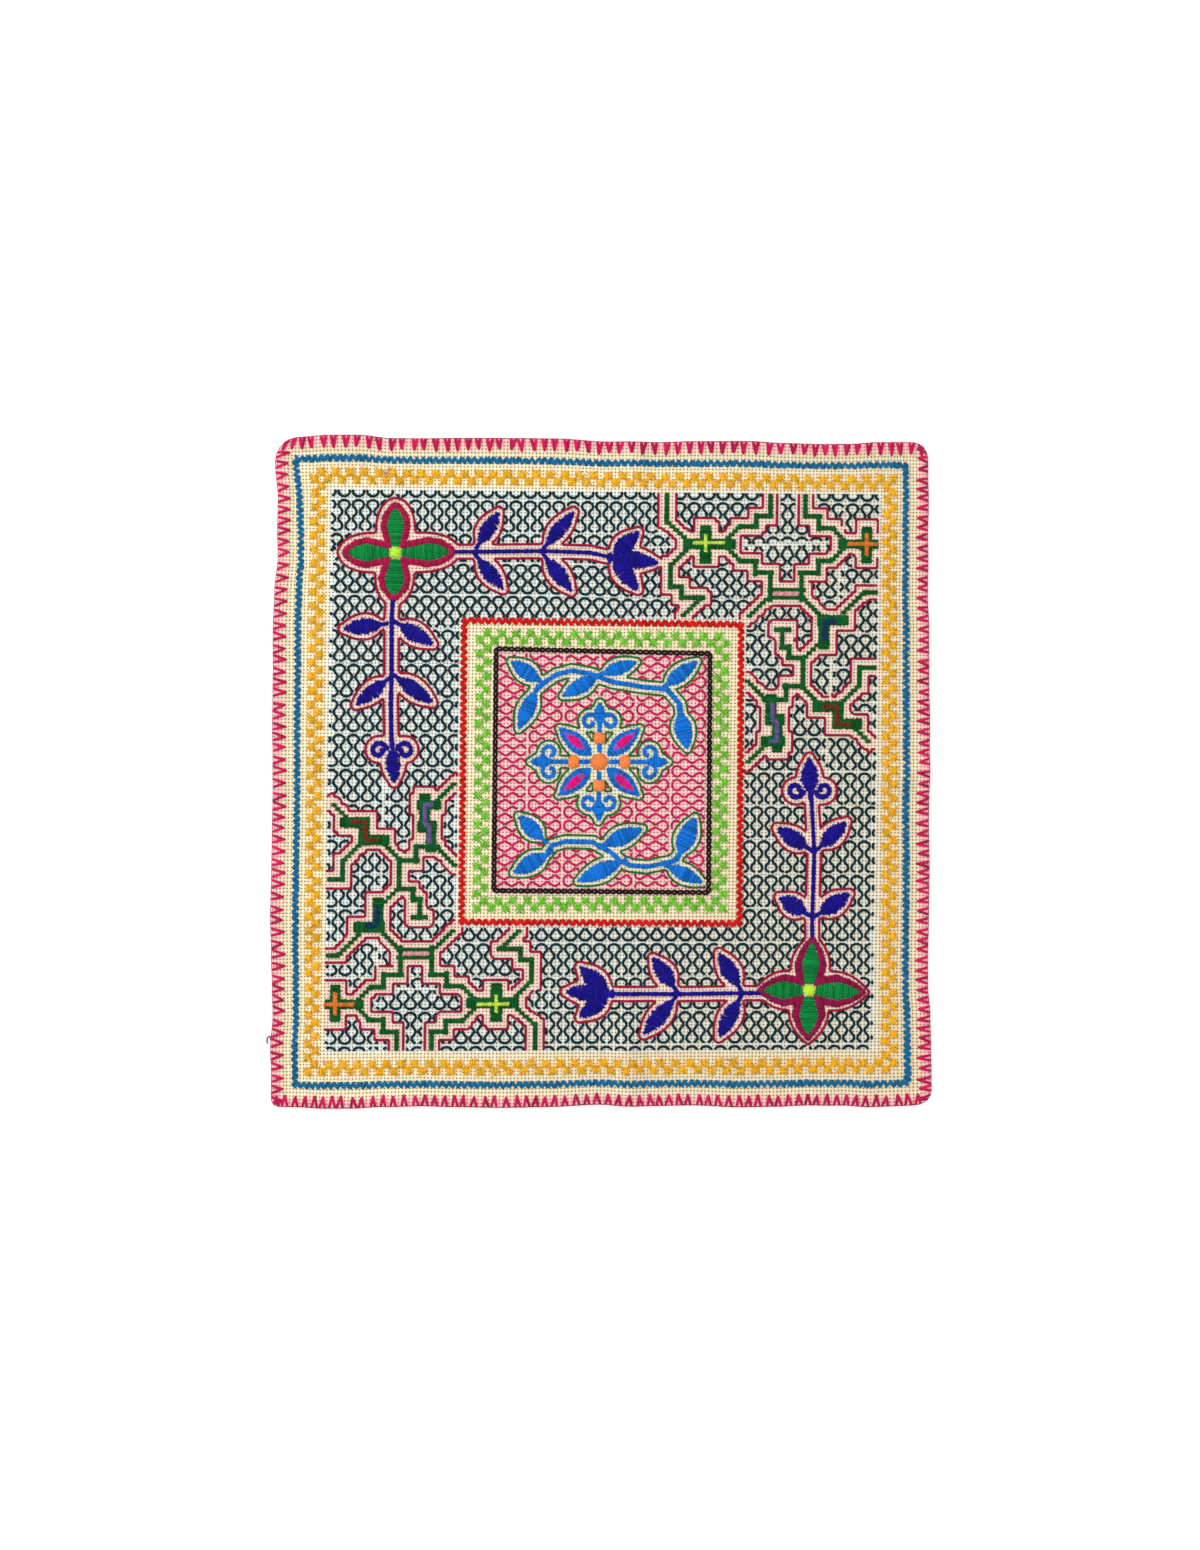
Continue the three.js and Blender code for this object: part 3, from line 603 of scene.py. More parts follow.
def embroidery_cotton(name, colour, dark=0.5):
    """Twisted cotton thread: each stitch has its own tone, darker in the grooves of its twist."""
    material = bpy.data.materials.new(name)
    material.use_nodes = True
    nodes, links = material.node_tree.nodes, material.node_tree.links
    cotton = nodes["Principled BSDF"]
    cotton.inputs["Roughness"].default_value = 0.6
    cotton.inputs["Specular IOR Level"].default_value = 0.1
    own_tone = nodes.new("ShaderNodeNewGeometry")
    place = nodes.new("ShaderNodeTexCoord")
    fibre = nodes.new("ShaderNodeTexNoise")
    fibre.inputs["Scale"].default_value = 1600
    fibre.inputs["Detail"].default_value = 2
    links.new(place.outputs["Object"], fibre.inputs["Vector"])
    frayed = nodes.new("ShaderNodeMapRange")
    frayed.inputs["From Min"].default_value = 0.35
    frayed.inputs["From Max"].default_value = 0.65
    frayed.inputs["To Max"].default_value = 0.5
    links.new(fibre.outputs["Fac"], frayed.inputs["Value"])
    tone = nodes.new("ShaderNodeMath")
    tone.operation = "MULTIPLY_ADD"
    tone.inputs[1].default_value = 0.8
    links.new(own_tone.outputs["Random Per Island"], tone.inputs[0])
    links.new(frayed.outputs["Result"], tone.inputs[2])
    shade = nodes.new("ShaderNodeMix")
    shade.data_type = "RGBA"
    shade.inputs["A"].default_value = (*linear(*colour) * dark, 1)
    shade.inputs["B"].default_value = (*linear(*colour), 1)
    links.new(tone.outputs["Value"], shade.inputs["Factor"])
    links.new(shade.outputs["Result"], cotton.inputs["Base Color"])
    twist_place = nodes.new("ShaderNodeMapping")
    twist_place.inputs["Scale"].default_value = (1, 5, 1)
    links.new(place.outputs["UV"], twist_place.inputs["Vector"])
    twist = nodes.new("ShaderNodeTexWave")
    twist.bands_direction = "DIAGONAL"
    twist.inputs["Scale"].default_value = 1
    links.new(twist_place.outputs["Vector"], twist.inputs["Vector"])
    bump = nodes.new("ShaderNodeBump")
    bump.inputs["Strength"].default_value = 0.35
    bump.inputs["Distance"].default_value = 0.0002
    links.new(twist.outputs["Fac"], bump.inputs["Height"])
    links.new(bump.outputs["Normal"], cotton.inputs["Normal"])
    return material


def sew(name, stitches, thick, cotton):
    """Lays every stitch on the cloth as a thread of this thickness, in one piece."""
    laid = lay_on_cloth(np.concatenate(stitches))
    thread = bpy.data.curves.new(name, "CURVE")
    thread.dimensions = "3D"
    thread.bevel_depth = thick / 2000
    thread.bevel_resolution = 0
    thread.use_fill_caps = True
    thread.twist_mode = "Z_UP"
    first = 0
    for one in stitches:
        count = len(one)
        line = thread.splines.new("POLY")
        line.points.add(count - 1)
        places = np.ones((count, 4))
        places[:, :3] = laid[first : first + count]
        line.points.foreach_set("co", places.ravel())
        fullness = np.full(count, random.uniform(0.92, 1.08))
        fullness[[0, -1]] *= 0.85
        line.points.foreach_set("radius", fullness)
        first += count
    drawn = bpy.data.objects.new(name + "_route", thread)
    mesh = bpy.data.meshes.new_from_object(drawn)
    bpy.data.objects.remove(drawn)
    bpy.data.curves.remove(thread)
    mesh.name = name
    mesh.shade_smooth()
    mesh.materials.clear()
    mesh.materials.append(cotton)
    piece = bpy.data.objects.new(name, mesh)
    bpy.context.scene.collection.objects.link(piece)
    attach(piece, "root")


def on_side(side, along, inward):
    """A place near the hem: along a side, and in from its folded edge."""
    if side == "top":
        return (along, LENGTH / 2 - inward)
    if side == "bottom":
        return (along, inward - LENGTH / 2)
    if side == "right":
        return (WIDTH / 2 - inward, along)
    return (inward - WIDTH / 2, along)


hem_stitches = []
for side, (deep, pitch, spread, strands) in HEM_STITCHES.items():
    reach = (WIDTH if side in ("top", "bottom") else LENGTH) / 2 - 3
    along = -reach
    while along < reach:
        hole_deep = deep + random.uniform(-0.7, 0.6)
        lean = random.uniform(-0.8, 0.8)
        for way in (-1, 1):
            foot = along + lean + way * (spread + random.uniform(-0.3, 0.3))
            for strand in strands:
                rise = [
                    (*on_side(side, along + strand * 0.5, hole_deep), 0.1),
                    (*on_side(side, along + (foot - along) * 0.2 + strand * 0.8, hole_deep * 0.8), 0.6),
                    (*on_side(side, along + (foot - along) * 0.85 + strand, hole_deep * 0.15), 0.5),
                    (*on_side(side, foot + strand, -0.1), 0.1),
                ]
                hem_stitches.append(np.array(rise))
        along += pitch * random.uniform(0.86, 1.14)
hot_pink = embroidery_cotton("hot_pink_cotton", (214, 26, 92), dark=0.3)
sew("hem_stitches", hem_stitches, 1.0, hot_pink)

# The thread along the edge, whose one loose end hangs at the left side
TAIL_PLACE = -140
edge_places = np.linspace(-1, 1, 121)
edge_thread = []
for side in ("top", "right", "bottom", "left"):
    half = (WIDTH if side in ("top", "bottom") else LENGTH) / 2
    run = np.array([(*on_side(side, half * share, 0), -0.25) for share in edge_places])
    edge_thread += [run[i : i + 3] for i in range(0, len(run) - 2, 2)]
tail_u, tail_v = on_side("left", TAIL_PLACE, 0)
edge_thread.append(np.array([
    (tail_u, tail_v, 0.2),
    (tail_u - 1.2, tail_v + 2.4, -0.4),
    (tail_u - 2.6, tail_v + 1.2, -0.5),
    (tail_u - 2.2, tail_v - 1.8, -0.5),
]))
dark_pink = embroidery_cotton("dark_pink_cotton", (150, 16, 62))
sew("hem_edge_thread", edge_thread, 0.8, dark_pink)

# Inside the hem runs a blue line of close zigzag stitches, round all four sides. Its cotton is
# laid threefold, so that the line is almost closed, with pale notches along both edges.
BLUE_CORNERS = [(-162.4, 163.6), (159.8, 163.1), (161.6, -163.4), (-159.8, -163.4), (-160.2, 125)]
ZIGZAG_RISE = 0.45


def zigzag(corners, half_wide, pitch, strands, ragged=0.25):
    """Zigzag stitches along a closed line, each leg laid with several strands."""
    stitches = []
    for start, end in zip(corners, corners[1:] + corners[:1]):
        start, end = np.array(start), np.array(end)
        length = np.hypot(*(end - start))
        ahead = (end - start) / length
        aside = np.array((-ahead[1], ahead[0])) * half_wide
        legs = round(length / pitch * 2)
        step = length / legs
        for leg in range(legs):
            way = 1 if leg % 2 else -1
            for strand in strands:
                near_end = start + ahead * (leg * step + strand) - aside * way
                far_end = start + ahead * ((leg + 1) * step + strand) + aside * way
                slip = np.array([random.uniform(-ragged, ragged) for end in range(4)])
                stitches.append(stitch(near_end + slip[:2], far_end + slip[2:], ZIGZAG_RISE))
    return stitches


blue_line = zigzag(BLUE_CORNERS, 1.6, 3.35, (-0.5, 0, 0.5), ragged=0.4)
border_blue = embroidery_cotton("border_blue_cotton", (18, 112, 160), dark=0.35)
sew("blue_border_line", blue_line, 0.95, border_blue)

# Inside the blue line is a chequer of stars in golden yellow cotton, two blocks wide. Each star
# is worked over two holes each way: four lines of two strands each cross at its middle.
STAR_REACH = 2.05
STAR_STRANDS = (-0.35, 0.35)
STAR_SLIP = 0.5

# Where each line of a star points, across and up, and how high it lies
STAR_LINES = [(1.1, 1.1, 0.4), (1.1, -1.1, 0.5), (1, 0, 0.6), (0, 1, 0.7)]


def star_chequer(corners, across, up):
    """Stars on every other block of a four-sided ring, two blocks wide, the corners inside it."""
    top_left, top_right, low_right, low_left = np.array(corners)
    stars = []
    for i in range(-1, across + 1):
        for j in range(-1, up + 1):
            in_ring = i in (-1, 0, across - 1, across) or j in (-1, 0, up - 1, up)
            if (i + j) % 2 or not in_ring:
                continue
            along, rise_share = (i + 0.5) / across, (j + 0.5) / up
            low = low_left + (low_right - low_left) * along
            high = top_left + (top_right - top_left) * along
            middle = low + (high - low) * rise_share
            middle = middle + np.array((random.uniform(-0.25, 0.25), random.uniform(-0.25, 0.25)))
            for arm_u, arm_v, rise in STAR_LINES:
                for strand in STAR_STRANDS:
                    side = np.array((-arm_v, arm_u)) * strand
                    slip = np.array([random.uniform(-STAR_SLIP, STAR_SLIP) for end in range(4)])
                    arm = np.array((arm_u, arm_v)) * STAR_REACH * random.uniform(0.8, 1.1)
                    start = middle + side - arm + slip[:2]
                    stars.append(stitch(start, middle + side + arm + slip[2:], rise))
    return stars


YELLOW_CORNERS = [(-150.6, 154.9), (150.4, 153.7), (152.9, -154.2), (-150.6, -154.4)]
yellow_stars = star_chequer(YELLOW_CORNERS, 80, 84)
golden = embroidery_cotton("golden_yellow_cotton", (248, 184, 24), dark=0.45)
sew("yellow_star_border", yellow_stars, 0.76, golden)

# Two opposite corners of the field hold a flower with four petals in green satin stitch, laid
# side by side across each. A rim of satin goes round them: magenta about the upper flower's
# round petals, and plum about the lower flower's pointed ones.
SATIN_PITCH = 0.85

# Shares of a petal's length, and its width there as a share of its greatest
ROUND_PETAL = ((0, 0.15, 0.55, 0.82, 1), (0.46, 0.6, 1, 0.72, 0.12))
POINTED_PETAL = ((0, 0.2, 0.5, 0.8, 1), (0.5, 0.74, 1, 0.6, 0.08))

# Shares of a satin stitch's length, and its height there as a share of its crown
CROWNED = ((0, 0.18, 0.5, 0.82, 1), (0, 0.7, 1, 0.7, 0))


def leaf_frame(root, tip):
    """A leaf's root, the ways ahead and aside from it, and the leaf's length."""
    root, tip = np.array(root, dtype=float), np.array(tip, dtype=float)
    length = np.hypot(*(tip - root))
    ahead = (tip - root) / length
    return root, ahead, np.array((ahead[1], -ahead[0])), length


def satin_leaf(root, tip, half, shape=None, rise=0.85, ragged=0.35):
    """Stitches side by side across a leaf or a petal, with the ragged edge of work by hand."""
    root, ahead, aside, length = leaf_frame(root, tip)
    stitches = []
    for along in np.arange(0.15, length, SATIN_PITCH):
        share = along / length
        wide = half * (np.interp(share, *shape) if shape else leaf_width(share)) + ragged / 2
        middle = root + ahead * (along + random.uniform(-0.1, 0.1))
        left = max(wide + random.uniform(-ragged, ragged), 0.45)
        right = max(wide + random.uniform(-ragged, ragged), 0.45)
        slant = ahead * random.uniform(-0.15, 0.15)
        crown = rise * (0.45 + 0.55 * min(wide / half, 1))
        start, end = middle - aside * left - slant, middle + aside * right + slant
        stitches.append(stitch(start, end, crown, *CROWNED))
    return stitches


def petal_shape(root):
    return POINTED_PETAL if is_pointed(root) else ROUND_PETAL


petal_stitches = []
for root, tip, half in FLOWER_PETALS:
    petal_stitches += satin_leaf(root, tip, half, shape=petal_shape(root))
leaf_green = embroidery_cotton("leaf_green_cotton", (10, 142, 66), dark=0.4)
sew("flower_petals", petal_stitches, 1.0, leaf_green)

RIM_GAP, RIM_WIDE, RIM_RISE = 0.2, 3.2, 0.6
upper_rim, lower_rim = [], []
for root, tip, half in FLOWER_PETALS:
    rim_stitches = lower_rim if is_pointed(root) else upper_rim
    base, ahead, aside, length = leaf_frame(root, tip)
    for along in np.arange(-0.6, length, SATIN_PITCH):
        wide = half * np.interp(along / length, *petal_shape(root))
        rim_wide = RIM_WIDE
        if is_pointed(root):
            rim_wide = RIM_WIDE * np.interp(along / length, (0.4, 1), (1.2, 0.8))
        for way in (-1, 1):
            inner = wide + RIM_GAP
            outer = min(wide + RIM_GAP + rim_wide + random.uniform(-0.3, 0.3), along + 5.2)
            if outer - inner > 0.7:
                fan = ahead * 1.1 * max(along / length - 0.55, 0) * 2
                start = base + ahead * along + aside * way * inner
                end = start + aside * way * (outer - inner) + fan
                rim_stitches.append(stitch(start, end, RIM_RISE))
    for angle in np.linspace(-1.15, 1.15, 9):
        direction = ahead * np.cos(angle) + aside * np.sin(angle)
        start = base + ahead * (length - 0.4) + direction * 0.6
        reach = RIM_WIDE * (1.1 - 0.45 * abs(angle) if is_pointed(root) else 1)
        rim_stitches.append(stitch(start, start + direction * reach, RIM_RISE))
magenta = embroidery_cotton("magenta_cotton", (178, 20, 76), dark=0.45)
plum = embroidery_cotton("plum_cotton", (152, 20, 76), dark=0.45)
sew("upper_flower_rim", upper_rim, 1.0, magenta)
sew("lower_flower_rim", lower_rim, 1.0, plum)

FLOWER_MIDDLES = [(-109.2, 114.8, 3.1), (110.7, -114.3, 3.4)]


def satin_disc(middle, radius, count, shares, low, uneven):
    """Stitches through one middle, each turned a little from the last."""
    stitches = []
    for angle in np.linspace(0, np.pi, count, endpoint=False):
        spoke = np.array((np.cos(angle), np.sin(angle))) * radius * random.uniform(*shares)
        rise = low + random.uniform(0, uneven)
        stitches.append(stitch(middle - spoke, middle + spoke, rise, *CROWNED))
    return stitches


middle_stitches = []
for middle_u, middle_v, radius in FLOWER_MIDDLES:
    middle = np.array((middle_u, middle_v))
    middle_stitches += satin_disc(middle, radius, 14, (0.8, 1.08), low=1.2, uneven=0.3)
lime = embroidery_cotton("lime_cotton", (190, 236, 62), dark=0.6)
sew("flower_middles", middle_stitches, 1.0, lime)

# A spray of leaves leaves each flower along the field's two outer sides, in deep indigo cotton:
# satin leaves with ragged edges, on stems and curls of short slanting stitches.
LINE_RAGGED = 0.2


def satin_line(wide, route, rise=0.6):
    """Short slanting stitches side by side across a line."""
    stitches = []
    route = [np.array(point, dtype=float) for point in route]
    for start, end in zip(route[:-1], route[1:]):
        length = np.hypot(*(end - start))
        ahead = (end - start) / length
        aside = np.array((-ahead[1], ahead[0])) * wide / 2
        for along in np.arange(0, length, SATIN_PITCH):
            middle = start + ahead * (along + SATIN_PITCH / 2)
            reach = aside * (1 + random.uniform(-LINE_RAGGED, LINE_RAGGED)) + ahead * 0.35
            stitches.append(stitch(middle - reach, middle + reach, rise))
    return stitches


def leaf_stalk(root, tip, wide):
    """The short stalk that joins a leaf to the place that it springs from."""
    root, ahead = leaf_frame(root, tip)[:2]
    return satin_line(wide, [root - ahead * 4.2, root + ahead * 1.2])


spray_stitches = [one for leaf in FIELD_LEAVES for one in satin_leaf(*leaf, ragged=0.6)]
for wide, route in FIELD_STEMS + FIELD_CURLS:
    spray_stitches += satin_line(wide + 0.3, route)
for root, tip, half in FIELD_LEAVES:
    spray_stitches += leaf_stalk(root, tip, 1.9)
indigo = embroidery_cotton("indigo_cotton", (28, 16, 146), dark=0.4)
sew("indigo_sprays", spray_stitches, 0.95, indigo)

# The other two corners hold a stepped lattice in dark green cotton, worked over the threads of
# the weave, so that its slanting lines go in small steps. Its wider bars carry a bar, a cross or
# a hook of another colour, laid on top of the green.
LATTICE_RISE = 0.5


def lattice_line(wide, route):
    """Stitches across a line, two to each hole of the weave, that step along where it slants."""
    stitches = []
    route = [np.array(point, dtype=float) for point in route]
    for start, end in zip(route[:-1], route[1:]):
        length = np.hypot(*(end - start))
        ahead = (end - start) / length
        if min(abs(ahead)) < 1e-6:
            aside = np.array((-ahead[1], ahead[0])) * wide / 2
            places = np.arange(-wide / 2, length + wide / 2, HOLE_V / 2) + HOLE_V / 4
        else:
            aside = np.array((wide * 0.62, 0))
            rows = 2 * round(abs(end[1] - start[1]) / HOLE_V)
            places = (np.arange(rows) // 2 * 2 + 1) / rows * length
        for count, along in enumerate(places):
            middle = start + ahead * along
            if min(abs(ahead)) > 1e-6:
                middle[1] = start[1] + (end[1] - start[1]) * (count + 0.5) / len(places)
            reach = aside * (1 + random.uniform(-0.12, 0.12))
            if in_field(*middle, margin=0.4):
                stitches.append(stitch(middle - reach, middle + reach, LATTICE_RISE))
    return stitches


lattice_stitches = [one for run in LATTICE for one in lattice_line(*run)]
lattice_green = embroidery_cotton("dark_green_cotton", (14, 98, 40), dark=0.35)
sew("lattice_lines", lattice_stitches, 1.0, lattice_green)

# Each inlay's colour, and the width and the route of its bars in the upper right band
INLAYS = {
    "yellow_green": ((204, 228, 80), [
        (1.8, [(46.6, 121.1), (63.3, 121.3)]),
        (1.9, [(53.4, 125.6), (53.5, 116.4)]),
    ]),
    "orange": ((226, 122, 48), [
        (2.3, [(127.8, 121.2), (143.2, 121.2)]),
        (2.4, [(138, 126.8), (138, 115.6)]),
    ]),
    "navy": ((16, 52, 92), [
        (3.2, [(122.8, 80.1), (116.4, 80.1), (116.4, 70.7)]),
    ]),
    "lilac": ((108, 88, 150), [
        (2.4, [(89.5, 37.5), (89.7, 27.5), (92.1, 27.5), (92.2, 16.9), (88.6, 16.9)]),
    ]),
    "red_brown": ((122, 44, 20), [
        (2.4, [(115.9, 35.2), (123.4, 35.3), (123.5, 25.9), (131.1, 25.9)]),
    ]),
    "pale_pink": ((226, 160, 160), [
        (2.4, [(89.2, 94.7), (102.8, 94.7)]),
    ]),
}
for name, (colour, runs) in INLAYS.items():
    inlay = [one for run in runs + turned_half_round(runs) for one in satin_line(*run, rise=0.9)]
    sew(name + "_inlays", inlay, 1.0, embroidery_cotton(name + "_cotton", colour))

# A crimson outline of small back stitches goes round every flower, spray and lattice line. Where
# it follows the lattice it goes from hole to hole of the weave.
STITCH_LONG, STITCH_RISE = 1.9, 0.4
ROUTE_STEP = 0.4
PANEL_KEPT_OUT = (75.4, 81.2)


def outline_routes(room, left, right, bottom, top, step=0.9):
    """The routes on which room() is nothing: its surface is cut at that height."""
    surface = bmesh.new()
    across, up = round((right - left) / step), round((top - bottom) / step)
    bmesh.ops.create_grid(surface, x_segments=across, y_segments=up, size=1)
    spots = np.array([vert.co[:2] for vert in surface.verts])
    u = left + (spots[:, 0] + 1) / 2 * (right - left)
    v = bottom + (spots[:, 1] + 1) / 2 * (top - bottom)
    for vert, *place in zip(surface.verts, u, v, room(u, v)):
        vert.co = place
    everything = [*surface.verts, *surface.edges, *surface.faces]
    cut = bmesh.ops.bisect_plane(surface, geom=everything, dist=1e-5, plane_no=(0, 0, 1))["geom_cut"]
    joined = {}
    for edge in cut:
        if isinstance(edge, bmesh.types.BMEdge):
            a, b = edge.verts
            joined.setdefault(a, []).append(b)
            joined.setdefault(b, []).append(a)
    routes = []
    while joined:
        loose_ends = (spot for spot, others in joined.items() if len(others) == 1)
        here = next(loose_ends, next(iter(joined)))
        route = [here.co[:2]]
        while joined.get(here):
            following = joined[here].pop()
            joined[following].remove(here)
            if not joined[here]:
                del joined[here]
            here = following
            route.append(here.co[:2])
        joined.pop(here, None)
        routes.append(np.array(route))
    surface.free()
    return routes


def even_points(route, spacing):
    """Points an even distance apart on a route."""
    route = np.asarray(route, dtype=float)
    run = np.concatenate(([0], np.cumsum(np.hypot(*np.diff(route, axis=0).T))))
    count = max(round(run[-1] / spacing), 1)
    at = np.linspace(0, run[-1], count + 1)
    return np.column_stack((np.interp(at, run, route[:, 0]), np.interp(at, run, route[:, 1])))


def kept_runs(route, keep):
    """The stretches of a route whose points are kept."""
    breaks = np.flatnonzero(np.diff(keep.astype(int))) + 1
    parts = np.split(np.arange(len(route)), breaks)
    return [route[part] for part in parts if keep[part[0]] and len(part) > 2]


def back_stitches(route):
    """Stitches end to end along a route, each a little arched."""
    points = even_points(route, STITCH_LONG / 2)
    if len(points) % 2 == 0:
        points = even_points(points, STITCH_LONG / 2.2)
    count = (len(points) - 1) // 2
    low_high_low = np.array((0.05, STITCH_RISE, 0.05))
    return [np.column_stack((points[2 * i : 2 * i + 3], low_high_low)) for i in range(count)]


def hole_stitches(route):
    """Stitches from hole to hole of the weave, as close to a route as they can lie."""
    spots = np.rint(even_points(route, ROUTE_STEP) / (HOLE_U, HOLE_V))
    changed = np.concatenate(([True], np.any(np.diff(spots, axis=0) != 0, axis=1)))
    spots = spots[changed] * (HOLE_U, HOLE_V)
    arch = ((0, 0.5, 1), (0.1, 1, 0.1))
    return [stitch(a, b, STITCH_RISE, *arch) for a, b in zip(spots[:-1], spots[1:])]


crimson_stitches = []
for route in outline_routes(field_room, FIELD_LEFT, FIELD_RIGHT, FIELD_BOTTOM, FIELD_TOP):
    route = even_points(route, ROUTE_STEP)
    u, v = route.T
    keep = in_field(u, v, 0.3) & ~in_square(u, v, *PANEL_KEPT_OUT)
    by_lattice = room_by_lattice(u, v) < room_by_sprays(u, v)
    for run in kept_runs(route, keep & by_lattice):
        crimson_stitches += hole_stitches(run)
    for run in kept_runs(route, keep & ~by_lattice):
        crimson_stitches += back_stitches(run)
crimson = embroidery_cotton("crimson_cotton", (162, 18, 60))
sew("crimson_outlines", crimson_stitches, 1.5, crimson)

# The ground between is filled with dark teal cotton in rows of linked rings. Each thread swings
# between two columns of rings, four to a row, and closes with its neighbour at the row's ends.
RINGS_ACROSS = 4 * HOLE_U
RING_SWING, RING_CAP = 1.15, 2.45
ROW_GAP = 2.0
TEAL_FIRST_COLUMN = -138.3
TEAL_ROW_ENDS = [160.9, 143.1, 125.3, 109.8, 93.1, 75.2, 57.1, 38.6, 20.5, 2.3, -15.6, -33.4, -51.4,
                 -69.4, -87.2, -105.2, -123, -141, -159]

# How far the rings have moved to the right: everywhere, and more lower down, though less to the
# sides. Then how far they sag at most.
PULL_ALL, PULL_LOWER, PULL_SIDES = 0.3, 2.8, 0.011
SAG = 1.7

# The rings begun anew lie above these heights, over the upper spray and beyond its end, and as far
# to the right as the lattice. The last number is where the spray ends.
ANEW_ABOVE, ANEW_BEYOND, ANEW_RIGHT, SPRAY_END = 117, 125.3, 33, 18


def pulled_weave(route):
    """A route moved as the weave has pulled: to the right lower down, and down there too. Above
    the upper spray the rings were begun anew, further to the left."""
    u, v = route.T
    to_right = PULL_ALL + (PULL_LOWER - PULL_SIDES * np.abs(u)) * smooth((70 - v) / 210)
    anew = (v > np.where(u > SPRAY_END, ANEW_BEYOND, ANEW_ABOVE)) & (u < ANEW_RIGHT)
    to_right = np.where(anew, -2.3 - 0.006 * (u + 90), to_right)
    sag = SAG * np.maximum(0.75 * smooth((u + 40) / 70), smooth((10 - v) / 60))
    return np.column_stack((u + to_right, v - np.where(v > ANEW_ABOVE, 0, sag)))


def ring_thread(column, outward_way, row_start, row_end, across, swing, closes_at_start):
    """One thread of a row of rings, as rows of its place across and its place along."""
    way = -1 if row_end < row_start else 1
    first = row_start + way * (ROW_GAP / 2 + RING_CAP)
    last = row_end - way * (ROW_GAP / 2 + RING_CAP)
    t = np.linspace(0, 3, 43)
    wave = np.cos(np.pi * t) * (1 if closes_at_start else -1)
    turn = np.linspace(0, np.pi / 2, 9)[:-1]
    reach = across / 4 + swing
    inner = column + outward_way * across / 4
    start_middle = column if closes_at_start else column + outward_way * across / 2
    start_way = outward_way if closes_at_start else -outward_way
    start_across = start_middle + start_way * reach * np.sin(turn)
    start_cap = np.column_stack((start_across, first - way * RING_CAP * np.cos(turn)))
    swings = np.column_stack((inner + outward_way * swing * wave, first + (last - first) * t / 3))
    end_middle = column + outward_way * across / 2 if closes_at_start else column
    end_across = end_middle - start_way * reach * np.sin(turn)
    end_cap = np.column_stack((end_across, last + way * RING_CAP * np.cos(turn)))
    return np.concatenate((start_cap, swings, end_cap[::-1]))


teal_stitches = []
for number, (row_start, row_end) in enumerate(zip(TEAL_ROW_ENDS[:-1], TEAL_ROW_ENDS[1:])):
    closes_at_start = number % 2 == 0
    for k in range(-1, 39):
        column = TEAL_FIRST_COLUMN + k * RINGS_ACROSS
        for outward_way in (-1, 1):
            route = ring_thread(column, outward_way, row_start, row_end, RINGS_ACROSS,
                                RING_SWING, closes_at_start)
            route = even_points(pulled_weave(route), ROUTE_STEP)
            u, v = route.T
            keep = in_field(u, v, 0.4) & ~in_square(u, v, *PANEL_KEPT_OUT)
            for run in kept_runs(route, keep & (field_room(u, v) > 0.6)):
                teal_stitches += back_stitches(run)
dark_teal = embroidery_cotton("dark_teal_cotton", (2, 44, 54), dark=0.3)
sew("teal_ring_filling", teal_stitches, 1.55, dark_teal)

# The middle panel is framed by a red line of close zigzag stitches, a chequer of stars in bright
# green cotton like the yellow one, and a line of black chain stitch.
RED_CORNERS = [(-72.8, 79.6), (72.6, 78.3), (73.8, -79.1), (-72.2, -78.2)]
red_line = zigzag(RED_CORNERS, 1.6, 3.65, (-0.55, 0, 0.55))
red = embroidery_cotton("red_cotton", (222, 26, 20), dark=0.22)
sew("red_border_line", red_line, 0.95, red)

GREEN_CORNERS = [(-62.5, 71.1), (62.7, 70.2), (63, -69), (-62.5, -69)]
green_stars = star_chequer(GREEN_CORNERS, 33, 38)
bright_green = embroidery_cotton("bright_green_cotton", (118, 210, 46), dark=0.35)
sew("green_star_border", green_stars, 0.62, bright_green)

BLACK_CORNERS = [(-55.8, 64.8), (56.5, 62.9), (57.2, -62.8), (-55.4, -61.8)]
CHAIN_LINK = 3.2

# Places along a link, from where it starts: how far its strands bow apart there, and their height
LINK_PLACES = [(-0.12, 0, 0.1), (0.3, 0.85, 0.5), (0.7, 1, 0.55), (1.0, 0.35, 0.3)]


def chain_stitches(corners, link, half_wide):
    """Linked loops along a closed route: each is two strands that bow apart."""
    stitches = []
    for start, end in zip(corners, corners[1:] + corners[:1]):
        start, end = np.array(start), np.array(end)
        count = round(np.hypot(*(end - start)) / link)
        ahead = (end - start) / count
        aside = np.array((-ahead[1], ahead[0])) / np.hypot(*ahead) * half_wide
        for n in range(count):
            for way in (-1, 1):
                strand = []
                for share, bowed, rise in LINK_PLACES:
                    place = start + ahead * (n + share) + aside * way * bowed
                    strand.append((*place, rise))
                stitches.append(np.array(strand))
    return stitches


black = embroidery_cotton("black_cotton", (30, 14, 10))
sew("black_chain_line", chain_stitches(BLACK_CORNERS, CHAIN_LINK, 0.85), 1.25, black)

# Two sprays in light blue cotton lie across the panel, above and below. Their leaves are satin
# stitch and their stems are wider than those in the field.
spray_blue = embroidery_cotton("light_blue_cotton", (20, 124, 222), dark=0.35)
blue_stitches = [one for leaf in PANEL_LEAVES for one in satin_leaf(*leaf)]
blue_stitches += [one for wide, route in PANEL_STEMS for one in satin_line(wide - 0.4, route)]
for root, tip, half in PANEL_LEAVES:
    blue_stitches += leaf_stalk(root, tip, 2.0)
sew("blue_sprays", blue_stitches, 1.0, spray_blue)

